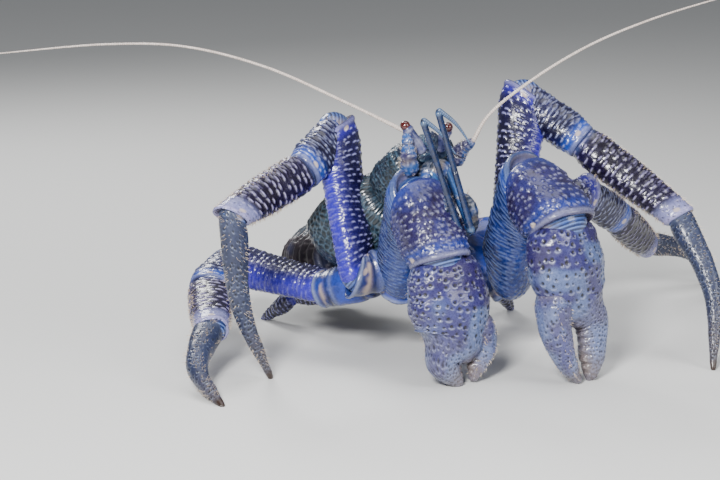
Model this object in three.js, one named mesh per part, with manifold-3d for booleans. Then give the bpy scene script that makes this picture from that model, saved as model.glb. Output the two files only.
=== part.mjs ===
import * as THREE from 'three';
import { mergeVertices } from 'three/addons/utils/BufferGeometryUtils.js';
import Module from 'manifold-3d';

const wasm = await Module();
wasm.setup();

// Coconut crab at life size, standing on its leg and claw tips with the head raised. Millimetres, +Z up.
// The crab looks towards -Y, so its right side is on the left of a viewer in front of it, at -X.

// Gap left between two nodes that touch
const GAP = 0.3;

// Surface error allowed where a cut's slivers are merged away
const SLIVER = 0.13;

// Pose of the body: the rostrum tip, and the turn, nose-up pitch and roll of the long axis in degrees
const ROSTRUM = [-17, -80, 160];
const YAW = 25;
const PITCH = 38;
const ROLL = 6;

// Body lengths along the long axis, from the rostrum tip backwards, and the greatest half widths
const SHIELD_END = 62;
const SHELL_END = 128;
const SHIELD_HALF = 27;
const GILL_HALF = 56;
const ABDOMEN_HALF = 47;

// Sections of a limb segment, as [share of the length, half thickness, half depth]
const LEG_SECTIONS = {
  base: [[0, 12, 12], [0.5, 13, 15], [1, 11, 13]],
  merus: [[0, 9, 12], [0.2, 10, 14], [0.55, 10.5, 15], [0.86, 12, 17], [1, 11, 14]],
  carpus: [[0, 8, 10], [0.3, 10.5, 13], [0.7, 11.5, 14.5], [1, 10, 12]],
  propodus: [[0, 8, 10], [0.2, 10.5, 13.5], [0.6, 10, 13], [0.9, 9, 11], [1, 8.5, 10]],
  dactyl: [[0, 7, 8], [0.12, 8, 9.5], [0.45, 6.5, 7], [0.75, 4.3, 4.6], [0.94, 2.4, 2.4], [1, 1.6, 1.6]],
};
const ARM_SECTIONS = {
  base: [[0, 11, 11], [0.5, 14, 14], [1, 15, 14]],
  merus: [[0, 15, 14], [0.3, 19, 17], [0.7, 20, 19], [0.9, 20, 20], [1, 17, 17]],
  carpus: [[0, 20, 15], [0.3, 22, 19], [0.7, 22.5, 20], [1, 19, 17]],
};

// Limbs as posed: hip in body axes [forward, left, up], then [length, azimuth, elevation] of each segment.
// The last segment of each reaches the floor, so its elevation is worked out.
const ARMS = {
  claw_right: {
    hip: [-56, -15, -52], size: 1, palm: [29, 19], finger: 0.6, inner: 1,
    bones: [[35, 116, -62], [74, -72, 61], [40, -57, -53], [88.5, -16]],
  },
  claw_left: {
    hip: [-56, 15, -52], size: 1.08, palm: [29, 20], finger: 0.47, inner: -1,
    bones: [[48, 2, -37], [75, -60, 66], [36, -58, -30], [110, -7]],
  },
};
const LEGS = {
  leg2_right: {
    hip: [-80, -18, -54], size: 1,
    bones: [[29, -154, -8], [102, 110, 64], [43, -122, -29], [76, -128, -15], [118, 32]],
  },
  leg2_left: {
    hip: [-80, 18, -54], size: 1,
    bones: [[55, 21, 16], [96, 76, 63], [50, -26, -32], [86, -22, -34], [115, -72]],
  },
  leg3_right: {
    hip: [-102, -22, -52], size: 1.08,
    bones: [[43, 150, -16], [82, 150, 6], [48, -104, -9], [63, -85, -12], [88, -81]],
  },
  leg3_left: {
    hip: [-102, 22, -52], size: 0.94,
    bones: [[52, 32, -6], [94, 34, 27], [48, 50, -28], [72, 60, -28], [82, 30]],
  },
};
const SMALL_LEGS = {
  leg4_right: { hip: [-119, -20, -46], bones: [[64, 124, -22], [25, 145, -4], [42, 140]] },
  leg4_left: { hip: [-119, 20, -46], bones: [[70, 53, -18], [25, 45, -4], [42, 57]] },
};

const rad = THREE.MathUtils.degToRad;
const vector = ([x, y, z]) => new THREE.Vector3(x, y, z);

// Body axes: forward, left and up of the crab, in the model's frame
const level = new THREE.Vector3(Math.cos(rad(YAW)), Math.sin(rad(YAW)), 0);
const FORWARD = new THREE.Vector3(
  Math.sin(rad(YAW)) * Math.cos(rad(PITCH)),
  -Math.cos(rad(YAW)) * Math.cos(rad(PITCH)),
  Math.sin(rad(PITCH)),
);
const LEFT = level.clone().applyAxisAngle(FORWARD, rad(ROLL));
const UP = FORWARD.clone().cross(LEFT);

function body(forward, left, up) {
  return vector(ROSTRUM)
    .addScaledVector(FORWARD, forward)
    .addScaledVector(LEFT, left)
    .addScaledVector(UP, up);
}

function heading(azimuth, elevation) {
  return new THREE.Vector3(1, 0, 0)
    .applyAxisAngle(new THREE.Vector3(0, -1, 0), rad(elevation))
    .applyAxisAngle(new THREE.Vector3(0, 0, 1), rad(azimuth));
}

// A body of superelliptic sections along a curve. Its sections stand across the curve, with the thickness
// along the given side direction, and a station is [share, half thickness, half depth, half depth below].
// A miter slants an end, by that many millimetres at the top of the section, to meet the next segment.
class Limb {
  constructor(points, side, stations, form = {}) {
    const { sides = 12, steps = 7, round = [0.06, 0.06], power = 2.4, crease, miter = [0, 0] } = form;
    this.curve = new THREE.CatmullRomCurve3(points, false, 'centripetal');
    this.length = this.curve.getLength();
    this.side = side;
    this.stations = stations;
    this.sides = sides;
    this.round = round;
    this.power = power;
    this.crease = crease;
    this.miter = miter;
    const [first, last] = round;
    this.shares = [0, first * 0.35];
    for (let step = 0; step <= steps; step += 1) {
      this.shares.push(first + (1 - first - last) * step / steps);
    }
    this.shares.push(1 - last * 0.35, 1);
  }

  size(share) {
    const next = Math.max(1, this.stations.findIndex(([at], index) => index > 0 && share <= at));
    const [from, ...a] = this.stations[next - 1];
    const [to, ...b] = this.stations[next];
    const ease = THREE.MathUtils.smoothstep(share, from, to);
    const blend = (THREE.MathUtils.clamp((share - from) / (to - from), 0, 1) + ease) / 2;
    const mixed = a.map((value, index) => THREE.MathUtils.lerp(value, b[index], blend));
    return mixed.length === 2 ? [...mixed, mixed[1]] : mixed;
  }

  // How far the section is drawn in by the rounded ends
  roundness(share) {
    const [first, last] = this.round;
    const inset = Math.max(0, 1 - share / first, 1 - (1 - share) / last);
    return Math.sqrt(Math.max(0.09, 1 - inset * inset));
  }

  at(share, angle, grow = 0) {
    const centre = this.curve.getPointAt(share);
    const along = this.curve.getTangentAt(share);
    const across = this.side.clone().addScaledVector(along, -this.side.dot(along)).normalize();
    const depth = along.clone().cross(across);
    const [thick, above, below] = this.size(share);
    const draw = this.roundness(share);
    const bend = (value) => Math.sign(value) * Math.abs(value) ** (2 / this.power);
    const x = bend(Math.cos(angle));
    const y = bend(Math.sin(angle));
    const fold = this.crease ? this.crease(share, angle) : 1;
    const slope = this.miter[1] * THREE.MathUtils.smoothstep(share, 0.5, 1)
      - this.miter[0] * THREE.MathUtils.smoothstep(1 - share, 0.5, 1);
    return centre
      .addScaledVector(along, y * draw * slope)
      .addScaledVector(across, x * (thick * draw * fold + grow))
      .addScaledVector(depth, y * ((y > 0 ? above : below) * draw * fold + grow))
      .addScaledVector(along, grow * (share < 0.5 ? -1 : 1) * (1 - draw) * 2.4);
  }

  outward(share, angle) {
    const here = this.at(share, angle);
    const ahead = this.at(Math.min(1, share + 0.02), angle).sub(this.at(Math.max(0, share - 0.02), angle));
    const around = this.at(share, angle + 0.1).sub(this.at(share, angle - 0.1));
    return { here, normal: around.cross(ahead).normalize() };
  }

  solid(grow = 0) {
    const rows = this.shares.length - 1;
    const geometry = new THREE.CylinderGeometry(1, 1, 1, this.sides, rows);
    const place = geometry.attributes.position;
    for (let index = 0; index < place.count; index += 1) {
      const share = this.shares[Math.round((place.getY(index) + 0.5) * rows)];
      const radius = Math.hypot(place.getX(index), place.getZ(index));
      const point = this.at(share, Math.atan2(place.getX(index), place.getZ(index)), grow);
      if (radius < 0.5) {
        const rim = this.at(share, 0, grow).add(this.at(share, Math.PI, grow)).multiplyScalar(0.5);
        point.copy(rim);
      }
      place.setXYZ(index, point.x, point.y, point.z);
    }
    return manifold(geometry);
  }
}

function manifold(geometry) {
  const plain = geometry.clone();
  plain.deleteAttribute('normal');
  plain.deleteAttribute('uv');
  const merged = mergeVertices(plain, 1e-4);
  return new wasm.Manifold(new wasm.Mesh({
    numProp: 3,
    vertProperties: new Float32Array(merged.attributes.position.array),
    triVerts: new Uint32Array(merged.index.array),
  }));
}

// The largest closed piece of a solid
function largest(solid) {
  return solid.decompose().reduce((most, piece) => (piece.volume() > most.volume() ? piece : most));
}

// A pointed scale or spine standing on a limb's surface, with its root sunk in and its tip leaning to the end
function thorn(limb, share, angle, grow, { width, along = width, height, lean = 0, sides = 4 }) {
  const root = Math.min(2.2, height + 0.8);
  const top = height + 3 * grow;
  const cone = new THREE.ConeGeometry(1, top + root, sides).translate(0, (top - root) / 2, 0);
  cone.rotateY(Math.PI / sides);
  const { here, normal } = limb.outward(share, angle);
  const forwards = limb.curve.getTangentAt(share);
  forwards.addScaledVector(normal, -forwards.dot(normal)).normalize();
  const sideways = normal.clone().cross(forwards);
  const place = cone.attributes.position;
  for (let index = 0; index < place.count; index += 1) {
    const up = place.getY(index);
    const point = here.clone()
      .addScaledVector(sideways, place.getX(index) * (width + 2 * grow))
      .addScaledVector(forwards, place.getZ(index) * (along + 2 * grow) + Math.max(0, up) * lean)
      .addScaledVector(normal, up);
    place.setXYZ(index, point.x, point.y, point.z);
  }
  return manifold(cone);
}

// Rows of thorns over a limb, set out in a stagger from one share of its length to another
function studded(limb, rows, grow = 0) {
  const pieces = [limb.solid(grow)];
  for (const { from, to, count, angles, ...shape } of rows) {
    for (let row = 0; row < count; row += 1) {
      const share = THREE.MathUtils.lerp(from, to, count === 1 ? 0.5 : row / (count - 1));
      const half = angles.length > 1 ? (angles[1] - angles[0]) / 2 * (row % 2) : 0;
      for (const angle of angles) {
        pieces.push(thorn(limb, share, rad(angle + half), grow, shape));
      }
    }
  }
  return wasm.Manifold.union(pieces);
}

const floor = manifold(new THREE.BoxGeometry(1200, 1200, 100).translate(0, 0, -50));

// Nodes in the order made: each new one is cut clear of the grown shapes it is given
const solids = new Map();
const colours = new Map();

function addNode(name, colour, solid, cutters = []) {
  const cut = cutters.reduce((rest, cutter) => rest.subtract(cutter), solid.subtract(floor));
  solids.set(name, largest(largest(cut).simplify(SLIVER)));
  colours.set(name, colour);
}

// A limb with its thorns as a node, after which the others that list its block are cut clear of it
function addLimb(name, colour, limb, rows, block) {
  addNode(name, colour, studded(limb, rows), block);
  block.push(studded(limb, rows, GAP));
}

const VIOLET = { color: 0x4a46b8, roughness: 0.35, metalness: 0 };
const INDIGO = { color: 0x2c2f7a, roughness: 0.38, metalness: 0 };
const TEAL = { color: 0x24485c, roughness: 0.4, metalness: 0 };
const PALE = { color: 0x8ea0c8, roughness: 0.45, metalness: 0 };
const SKIN = { color: 0x3a3350, roughness: 0.6, metalness: 0 };
const RED = { color: 0x6a1410, roughness: 0.12, metalness: 0 };
const TAN = { color: 0xb8a894, roughness: 0.5, metalness: 0 };
const STEEL = { color: 0x5a86c8, roughness: 0.25, metalness: 0 };

// Carapace: the narrow shield in front, and the wide gill covers behind it with a valley between them
const backwards = LEFT.clone().negate();
const shield = new Limb(
  [body(3, 0, -1), body(-20, 0, -2), body(-SHIELD_END, 0, -4)],
  backwards,
  [
    [0, 1.6, 1.4, 2], [0.13, 7, 4, 7], [0.24, 20, 8, 11], [0.4, 25, 12, 20],
    [0.75, SHIELD_HALF, 16, 28], [1, SHIELD_HALF - 2, 16, 30],
  ],
  { sides: 18, steps: 8, round: [0.02, 0.07], power: 2.2 },
);
const valley = (share, angle) => {
  const top = Math.exp(-(((angle * 180 / Math.PI - 90) / 14) ** 2));
  return 1 - 0.13 * top * Math.sin(Math.PI * Math.min(1, share * 1.2));
};
const gills = new Limb(
  [body(-SHIELD_END + 4, 0, -4), body(-95, 0, -4), body(-SHELL_END, 0, -9)],
  backwards,
  [
    [0, SHIELD_HALF, 12, 28], [0.15, 37, 17, 34], [0.42, 51, 21, 40],
    [0.7, GILL_HALF, 20, 40], [0.88, 51, 15, 36], [1, 40, 9, 28],
  ],
  { sides: 18, steps: 7, round: [0.06, 0.09], power: 2.3, crease: valley },
);
const thorax = new Limb(
  [body(-20, 0, -30), body(-75, 0, -33), body(-SHELL_END, 0, -30)],
  backwards,
  [[0, 13, 16, 16], [0.3, 20, 22, 24], [0.6, 24, 24, 26], [0.85, 24, 22, 24], [1, 18, 16, 14]],
  { sides: 12, steps: 5, round: [0.08, 0.1] },
);
addNode('carapace_shield', TEAL, shield.solid());
addNode('carapace_rear', TEAL, gills.solid(), [shield.solid(GAP)]);
const shellGrown = [shield.solid(GAP), gills.solid(GAP)];
addNode('thorax', SKIN, thorax.solid(), shellGrown);
const thoraxGrown = [...shellGrown, thorax.solid(GAP)];

// Abdomen: a soft sac that hangs level behind the body, roofed by five plates that overlap backwards
const abdomenPath = [
  body(-SHELL_END - 1, 0, -20),
  body(-SHELL_END - 1, 0, -20).add(new THREE.Vector3(-16, 36, -10)),
  body(-SHELL_END - 1, 0, -20).add(new THREE.Vector3(-29, 66, -17)),
  body(-SHELL_END - 1, 0, -20).add(new THREE.Vector3(-38, 90, -32)),
];
const sac = [
  [0, 24, 14, 16], [0.25, 40, 22, 22], [0.5, ABDOMEN_HALF, 25, 24], [0.78, 42, 24, 20], [1, 24, 14, 12],
];
const belly = new Limb(abdomenPath, backwards, sac, { sides: 16, steps: 7, round: [0.1, 0.16] });
addNode('abdomen', SKIN, belly.solid(), thoraxGrown);
const abdomenBlock = [...thoraxGrown, belly.solid(GAP)];
for (let number = 1; number <= 5; number += 1) {
  const from = 0.02 + (number - 1) * 0.185;
  const to = Math.min(0.985, from + 0.215);
  const shares = [0, 0.2, 0.4, 0.6, 0.8, 1];
  const path = shares.map((share) => belly.curve.getPointAt(THREE.MathUtils.lerp(from, to, share)));
  const stations = shares.map((share) => {
    const [wide, above] = belly.size(THREE.MathUtils.lerp(from, to, share));
    return [share, wide * 0.9, above + 2.4 + 1.4 * share, 2];
  });
  const plate = new Limb(path, backwards, stations, { sides: 16, steps: 2, round: [0.12, 0.12], power: 2.1 });
  addNode(`tergite_${number}`, TEAL, plate.solid(), abdomenBlock);
  abdomenBlock.push(plate.solid(GAP));
}
const end = belly.curve.getPointAt(0.95);
const fan = new Limb(
  [end, end.clone().add(new THREE.Vector3(-4, 12, -10)), end.clone().add(new THREE.Vector3(-2, 10, -22))],
  backwards,
  [[0, 15, 7], [0.4, 17, 6], [0.8, 13, 4], [1, 8, 3]],
  { sides: 12, steps: 4, round: [0.1, 0.2] },
);
addNode('tail_fan', INDIGO, fan.solid(), abdomenBlock);

// The side direction of a bent limb: across the plane that its long segments bend in
function hinge(bones, from, to) {
  const first = heading(bones[from][1], bones[from][2]);
  const second = heading(bones[to][1], bones[to][2]);
  return first.cross(second).normalize();
}

// Joint points of a limb, with the last one brought down to the floor
function joints({ hip, bones }) {
  const points = [body(...hip)];
  bones.forEach(([length, azimuth, elevation], index) => {
    const last = points[points.length - 1];
    const steep = -THREE.MathUtils.radToDeg(Math.asin((last.z + 0.8) / length));
    const drop = index < bones.length - 1 ? elevation : steep;
    bones[index][2] = drop;
    points.push(last.clone().addScaledVector(heading(azimuth, drop), length));
  });
  return points;
}

// Both ends of a segment run on past its joint points, so that one head sits inside the other's rim
function overlapped(from, to, before, after) {
  const along = to.clone().sub(from).normalize();
  return [from.clone().addScaledVector(along, -before), to.clone().addScaledVector(along, after)];
}

// How far the ends of segment number index slant, for a bend that it shares evenly with its neighbours
function miters(bones, index, side, depth) {
  const here = heading(bones[index][1], bones[index][2]);
  const up = here.clone().cross(side).normalize();
  const slant = (other, sign) => {
    if (!other) {
      return 0;
    }
    const next = heading(other[1], other[2]);
    const lean = -sign * next.dot(up) / (1 + here.dot(next));
    return THREE.MathUtils.clamp(lean, -0.8, 0.8) * depth * 0.85;
  };
  return [slant(bones[index - 1], -1), slant(bones[index + 1], 1)];
}

const scaled = (stations, size) => stations.map(
  ([share, ...halves]) => [share, ...halves.map((half) => half * size)],
);

// Outer mouthparts, folded up in front of the mouth
const limbBlock = [...thoraxGrown];
for (const [flank, mirror] of [['right', -1], ['left', 1]]) {
  const jaw = new Limb(
    [
      body(-36, mirror * 9, -50), body(-24, mirror * 11, -60),
      body(-8, mirror * 10, -56), body(-4, mirror * 7, -44),
    ],
    LEFT,
    [[0, 6, 6], [0.4, 5.5, 6.5], [0.8, 4, 4.5], [1, 2.5, 2.5]],
    { sides: 8, steps: 4, round: [0.1, 0.08] },
  );
  addNode(`maxilliped_${flank}`, PALE, jaw.solid(), limbBlock);
  limbBlock.push(jaw.solid(GAP));
}

// Claw arms: base, merus, carpus, then a palm that runs on as the outer finger, and the finger that moves
for (const [name, arm] of Object.entries(ARMS)) {
  const points = joints(arm);
  const side = hinge(arm.bones, 1, 3);
  const [, , , wrist, tip] = points;
  const straight = (number, kind, size) => new Limb(
    overlapped(points[number], points[number + 1], number === 0 ? 0 : 5, 5),
    side,
    scaled(ARM_SECTIONS[kind], size),
    {
      sides: 10, steps: number === 0 ? 1 : 2, round: [0.16, 0.14],
      miter: number === 0 ? [0, 0] : miters(arm.bones, number, side, 18),
    },
  );
  const base = straight(0, 'base', 1);
  const merus = straight(1, 'merus', arm.size);
  const carpus = straight(2, 'carpus', arm.size);
  const reach = tip.clone().sub(wrist);
  const inner = side.clone().addScaledVector(reach, -side.dot(reach) / reach.lengthSq()).normalize()
    .multiplyScalar(arm.inner);
  const on = (share, offset) => wrist.clone().addScaledVector(reach, share).addScaledVector(inner, offset);
  const [wide, thick] = arm.palm;
  const split = arm.finger;
  const palm = new Limb(
    [on(-0.06, 0), on(split * 0.55, 0), on(split, -5), on(split + 0.18, -15), on(0.88, -11), on(1, -4)],
    side,
    [
      [0, wide * 0.55, thick * 0.6], [split * 0.3, wide * 0.9, thick * 0.9], [split * 0.65, wide, thick],
      [split, wide * 0.82, thick * 0.85], [split + 0.14, 11, 12], [0.85, 8, 8.5], [0.96, 4.2, 4.5], [1, 2, 2],
    ],
    { sides: 14, steps: 9, round: [0.1, 0.03] },
  );
  const finger = new Limb(
    [on(split - 0.12, 15), on(split + 0.12, 20), on(0.86, 13), on(0.985, 4.5)],
    side,
    [[0, 8, 10], [0.2, 10.5, 12.5], [0.5, 8.5, 10], [0.8, 5.5, 6.5], [0.95, 3, 3.4], [1, 1.8, 1.8]],
    { sides: 10, steps: 6, round: [0.12, 0.03] },
  );
  const biting = arm.inner > 0 ? 180 : 0;
  const grain = { width: 1.4, height: 1.7, lean: 0.5 };
  const ridge = { width: 2, along: 1.2, height: 1.4, lean: 0.8 };
  addLimb(`${name}_finger`, VIOLET, finger, [
    { from: 0.35, to: 0.85, count: 4, angles: [biting], width: 3, height: 2.4 },
    { from: 0.15, to: 0.75, count: 4, angles: [-90], width: 1.3, height: 1.4 },
  ], limbBlock);
  addLimb(`${name}_palm`, VIOLET, palm, [
    { from: 0.14, to: split - 0.06, count: 4, angles: [-150, -118, -86, -54, -22], ...grain },
    { from: 0.2, to: split - 0.1, count: 3, angles: [60, 120], ...grain },
    { from: split + 0.2, to: 0.87, count: 3, angles: [180 - biting], width: 2.6, height: 2 },
  ], limbBlock);
  addLimb(`${name}_carpus`, INDIGO, carpus, [
    { from: 0.35, to: 0.85, count: 3, angles: [10, 55, 100, 145], ...ridge, along: 1.3, height: 1.6 },
  ], limbBlock);
  addLimb(`${name}_merus`, INDIGO, merus, [
    { from: 0.3, to: 0.8, count: 5, angles: [60, 120], ...ridge, width: 2.6 },
  ], limbBlock);
  addNode(`${name}_base`, SKIN, base.solid(), limbBlock);
  limbBlock.push(base.solid(GAP));
}

// Raised scales on the upper and outer faces of the leg segments, and corneous spines down the last one
const scale = { width: 2.6, along: 1.2, height: 1.2, lean: 1 };
const LEG_THORNS = {
  base: [],
  merus: [{ from: 0.22, to: 0.82, count: 4, angles: [45, 90, 135], ...scale, width: 3 }],
  carpus: [{ from: 0.35, to: 0.8, count: 3, angles: [45, 90, 135], ...scale }],
  propodus: [{ from: 0.2, to: 0.8, count: 4, angles: [40, 90, 140], ...scale, width: 2.2 }],
  dactyl: [{
    from: 0.18, to: 0.84, count: 4, angles: [-135, -45, 45, 135], width: 0.9, height: 2.4, lean: 0.8, sides: 3,
  }],
};

// Walking legs: base, merus, carpus, propodus and a pointed dactyl, each cut to hold the next one's head
for (const [name, leg] of Object.entries(LEGS)) {
  const points = joints(leg);
  const side = hinge(leg.bones, 1, 3);
  const kinds = ['base', 'merus', 'carpus', 'propodus', 'dactyl'];
  for (let index = kinds.length - 1; index >= 0; index -= 1) {
    const kind = kinds[index];
    const from = points[index];
    const to = points[index + 1];
    const path = overlapped(from, to, kind === 'base' ? 0 : 4, kind === 'dactyl' ? 0 : 4);
    if (kind === 'dactyl') {
      const out = to.clone().sub(from).cross(side).normalize();
      path.splice(1, 0, from.clone().lerp(to, 0.5).addScaledVector(out, 12 * leg.size));
    }
    const round = kind === 'dactyl' ? [0.07, 0.02] : [0.1, 0.08];
    const steps = kind === 'base' ? 1 : 3;
    const miter = miters(leg.bones, index, side, 12);
    if (kind === 'base') {
      miter[0] = 0;
    }
    const stations = scaled(LEG_SECTIONS[kind], leg.size);
    const limb = new Limb(path, side, stations, { sides: 8, steps, round, miter });
    const colour = kind === 'base' ? SKIN : INDIGO;
    addLimb(`${name}_${kind}`, colour, limb, LEG_THORNS[kind], limbBlock);
  }
}

// Small last legs, ending in a little pincer
for (const [name, leg] of Object.entries(SMALL_LEGS)) {
  const points = joints(leg);
  const side = hinge(leg.bones, 0, 2);
  const sections = {
    arm: [[0, 6, 7], [0.5, 6, 7.5], [1, 5.5, 7]],
    carpus: [[0, 4.5, 5], [0.5, 5.5, 6.5], [1, 5, 6]],
    chela: [[0, 4.5, 5], [0.35, 6, 7.5], [0.7, 4, 4.5], [1, 1.8, 1.8]],
  };
  Object.keys(sections).reverse().forEach((kind, index) => {
    const limb = new Limb([points[2 - index], points[3 - index]], side, sections[kind], {
      sides: 6, steps: 2, round: [0.12, 0.06],
    });
    addNode(`${name}_${kind}`, INDIGO, limb.solid(), [...limbBlock, ...abdomenBlock]);
    limbBlock.push(limb.solid(GAP));
  });
}

// Head: antenna stalks and whips, antennules, eyes on stalks, and the mouthparts under them
const headBlock = [...limbBlock];
const whips = {
  right: [
    [-32, -84, 162], [-74, -80, 182], [-127, -76, 205],
    [-180, -72, 218], [-230, -66, 219], [-315, -58, 211],
  ],
  left: [[10, -78, 155], [20, -76, 172], [45, -74, 193], [84, -70, 217], [127, -66, 235], [191, -60, 254]],
};
for (const [flank, whip] of Object.entries(whips)) {
  const mirror = flank === 'left' ? 1 : -1;
  const path = whip.map(vector);
  const lash = new Limb(path, UP, [[0, 1.5, 1.5], [0.1, 1, 1], [0.6, 0.7, 0.7], [1, 0.35, 0.35]], {
    sides: 5, steps: 20, round: [0.01, 0.01], power: 2,
  });
  const stalk = new Limb(
    [body(-16, mirror * 17, -16), body(-6, mirror * 20, -12), path[0].clone().lerp(path[1], 0.04)],
    UP,
    [[0, 6, 6], [0.35, 5.5, 5.5], [0.7, 4, 4], [1, 2.6, 2.6]],
    { sides: 6, steps: 2, round: [0.14, 0.08] },
  );
  addNode(`antenna_${flank}`, TAN, lash.solid());
  headBlock.push(lash.solid(GAP));
  addNode(`antenna_stalk_${flank}`, PALE, stalk.solid(), headBlock);
  headBlock.push(stalk.solid(GAP));
}
const eyes = { right: [-34.8, -84, 167], left: [-6.6, -84, 166] };
for (const [flank, centre] of Object.entries(eyes)) {
  const mirror = flank === 'left' ? 1 : -1;
  const root = body(-9, mirror * 6, -7);
  const out = vector(centre).sub(root).normalize();
  const tip = vector(centre);
  const ball = new Limb([tip.clone().addScaledVector(out, -3.4), tip.clone().addScaledVector(out, 3.4)], UP,
    [[0, 3.4, 3.4], [1, 3.4, 3.4]], { sides: 12, steps: 1, round: [0.49, 0.49], power: 2 });
  const stalk = new Limb([root, tip], UP, [[0, 4.2, 4.2], [0.5, 3.6, 3.6], [1, 3.3, 3.3]],
    { sides: 6, steps: 1, round: [0.1, 0.1], power: 2 });
  addNode(`eye_${flank}`, RED, ball.solid(), headBlock);
  headBlock.push(ball.solid(GAP));
  addNode(`eye_stalk_${flank}`, PALE, stalk.solid(), headBlock);
  headBlock.push(stalk.solid(GAP));
}
for (const [flank, mirror] of [['right', -1], ['left', 1]]) {
  const root = body(-10, mirror * 6, -20);
  const knee = vector([4.8 + mirror * 4, -112.8, 100]);
  const top = vector(flank === 'right' ? [-24.6, -118, 177] : [-14.8, -116, 183]);
  const lower = new Limb([root, knee], LEFT, [[0, 3, 3], [0.5, 2.4, 2.4], [1, 2.4, 2.4]],
    { sides: 5, steps: 2, power: 2 });
  const upper = new Limb([knee, top], LEFT, [[0, 2.4, 2.4], [0.5, 2, 2], [1, 2.2, 2.2]],
    { sides: 5, steps: 2, power: 2 });
  const whip = new Limb([top, top.clone().add(new THREE.Vector3(12, 2, -10)),
    top.clone().add(new THREE.Vector3(22, 4, -24))], LEFT, [[0, 1.6, 1.6], [1, 0.5, 0.5]],
  { sides: 6, steps: 3, power: 2 });
  const whole = lower.solid().add(upper.solid()).add(whip.solid());
  addNode(`antennule_${flank}`, STEEL, whole, headBlock);
  headBlock.push(lower.solid(GAP), upper.solid(GAP), whip.solid(GAP));
}
const mouth = new Limb([body(-9, 0, -14), body(-20, 0, -30), body(-32, 0, -46)], LEFT,
  [[0, 12, 7], [0.5, 15, 9], [1, 9, 6]], { sides: 8, steps: 2, round: [0.15, 0.15] });
addNode('mouth', TEAL, mouth.solid(), headBlock);

// The finished scene graph, with its origin under the middle of the whole crab
const group = new THREE.Group();
for (const [name, solid] of solids) {
  const { vertProperties, triVerts, numProp } = solid.getMesh();
  const geometry = new THREE.BufferGeometry();
  const positions = new Float32Array(vertProperties.length / numProp * 3);
  for (let index = 0; index < positions.length / 3; index += 1) {
    positions.set(vertProperties.subarray(index * numProp, index * numProp + 3), index * 3);
  }
  geometry.setAttribute('position', new THREE.BufferAttribute(positions, 3));
  geometry.setIndex([...triVerts]);
  geometry.computeVertexNormals();
  const mesh = new THREE.Mesh(geometry, new THREE.MeshStandardMaterial(colours.get(name)));
  mesh.name = name;
  group.add(mesh);
}
const box = new THREE.Box3().setFromObject(group);
const middle = box.getCenter(new THREE.Vector3());
group.children.forEach((mesh) => mesh.position.set(-middle.x, -middle.y, -box.min.z));

export default group;
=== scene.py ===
import itertools
import math

import bpy
import numpy as np
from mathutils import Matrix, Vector


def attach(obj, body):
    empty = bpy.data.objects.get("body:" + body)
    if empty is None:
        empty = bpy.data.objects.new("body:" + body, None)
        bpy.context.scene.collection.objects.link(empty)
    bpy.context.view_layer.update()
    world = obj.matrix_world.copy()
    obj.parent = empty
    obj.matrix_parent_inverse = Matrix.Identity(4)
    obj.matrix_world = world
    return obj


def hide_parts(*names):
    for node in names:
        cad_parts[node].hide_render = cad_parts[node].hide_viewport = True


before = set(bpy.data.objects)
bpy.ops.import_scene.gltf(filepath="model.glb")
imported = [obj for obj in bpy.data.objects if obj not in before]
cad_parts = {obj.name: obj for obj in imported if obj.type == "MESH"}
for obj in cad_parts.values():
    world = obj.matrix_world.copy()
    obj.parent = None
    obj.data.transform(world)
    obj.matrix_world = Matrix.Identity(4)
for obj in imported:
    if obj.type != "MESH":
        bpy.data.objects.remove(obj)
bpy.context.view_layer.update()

# A coconut crab at life size, standing on the tips of its legs and claws with its head raised, and its
# antennae spread. Lengths are in millimetres and are turned to metres where a mesh is made.
MM = 0.001
ORIGIN = np.array([46.695, -1.808, 0.0])

# Setting: a plain pale floor, the camera at the height and distance of the photograph, and soft lights,
# the strongest of them close over the camera, so that the wet-looking shell shines.
LIGHTS = {
    "key": ((-0.3, -1.25, 0.8), 36, 0.28),
    "fill": ((0.95, -0.75, 0.6), 8, 0.6),
    "rim": ((-0.5, 0.85, 0.9), 10, 0.4),
    "top": ((0.1, -0.05, 1.3), 7, 0.9),
}
FLOOR_SIZE = 9
LENS = 102.94
SENSOR = 36
CAMERA_PLACE = (-0.0646, -1.4294, 0.3759)
CAMERA_TILT = 78
LAMP_AIM = (0, 0, 0.1)
ROOM_LIGHT = 0.3


def ink(red, green, blue):
    """A colour as a maker reads it off a swatch, 0 to 255, turned to the shader's own scale."""
    def channel(value):
        value /= 255
        return value / 12.92 if value <= 0.04045 else ((value + 0.055) / 1.055) ** 2.4
    return (channel(red), channel(green), channel(blue), 1)


bpy.ops.object.select_all(action="DESELECT")
bpy.ops.mesh.primitive_plane_add(size=FLOOR_SIZE, location=(0, 0, 0))
floor = bpy.context.object
floor.name = "floor"
paper = bpy.data.materials.new("floor_paper")
paper.use_nodes = True
paper_shader = paper.node_tree.nodes["Principled BSDF"]
paper_shader.inputs["Base Color"].default_value = ink(214, 214, 212)
paper_shader.inputs["Roughness"].default_value = 0.75
floor.data.materials.append(paper)

camera = bpy.data.objects.new("camera", bpy.data.cameras.new("camera"))
bpy.context.collection.objects.link(camera)
camera.data.lens = LENS
camera.data.sensor_width = SENSOR
camera.location = Vector(CAMERA_PLACE) + Vector(ORIGIN * MM)
camera.rotation_euler = (math.radians(CAMERA_TILT), 0, 0)
bpy.context.scene.camera = camera
for lamp_name, (place, power, width) in LIGHTS.items():
    lamp = bpy.data.objects.new(lamp_name, bpy.data.lights.new(lamp_name, "AREA"))
    lamp.data.energy = power
    lamp.data.size = width
    lamp.location = place
    lamp.rotation_euler = (Vector(LAMP_AIM) - Vector(place)).to_track_quat("-Z", "Y").to_euler()
    bpy.context.collection.objects.link(lamp)
world = bpy.data.worlds.new("studio")
world.use_nodes = True
world.node_tree.nodes["Background"].inputs["Color"].default_value = ink(226, 230, 236)
world.node_tree.nodes["Background"].inputs["Strength"].default_value = ROOM_LIGHT
bpy.context.scene.world = world

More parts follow.
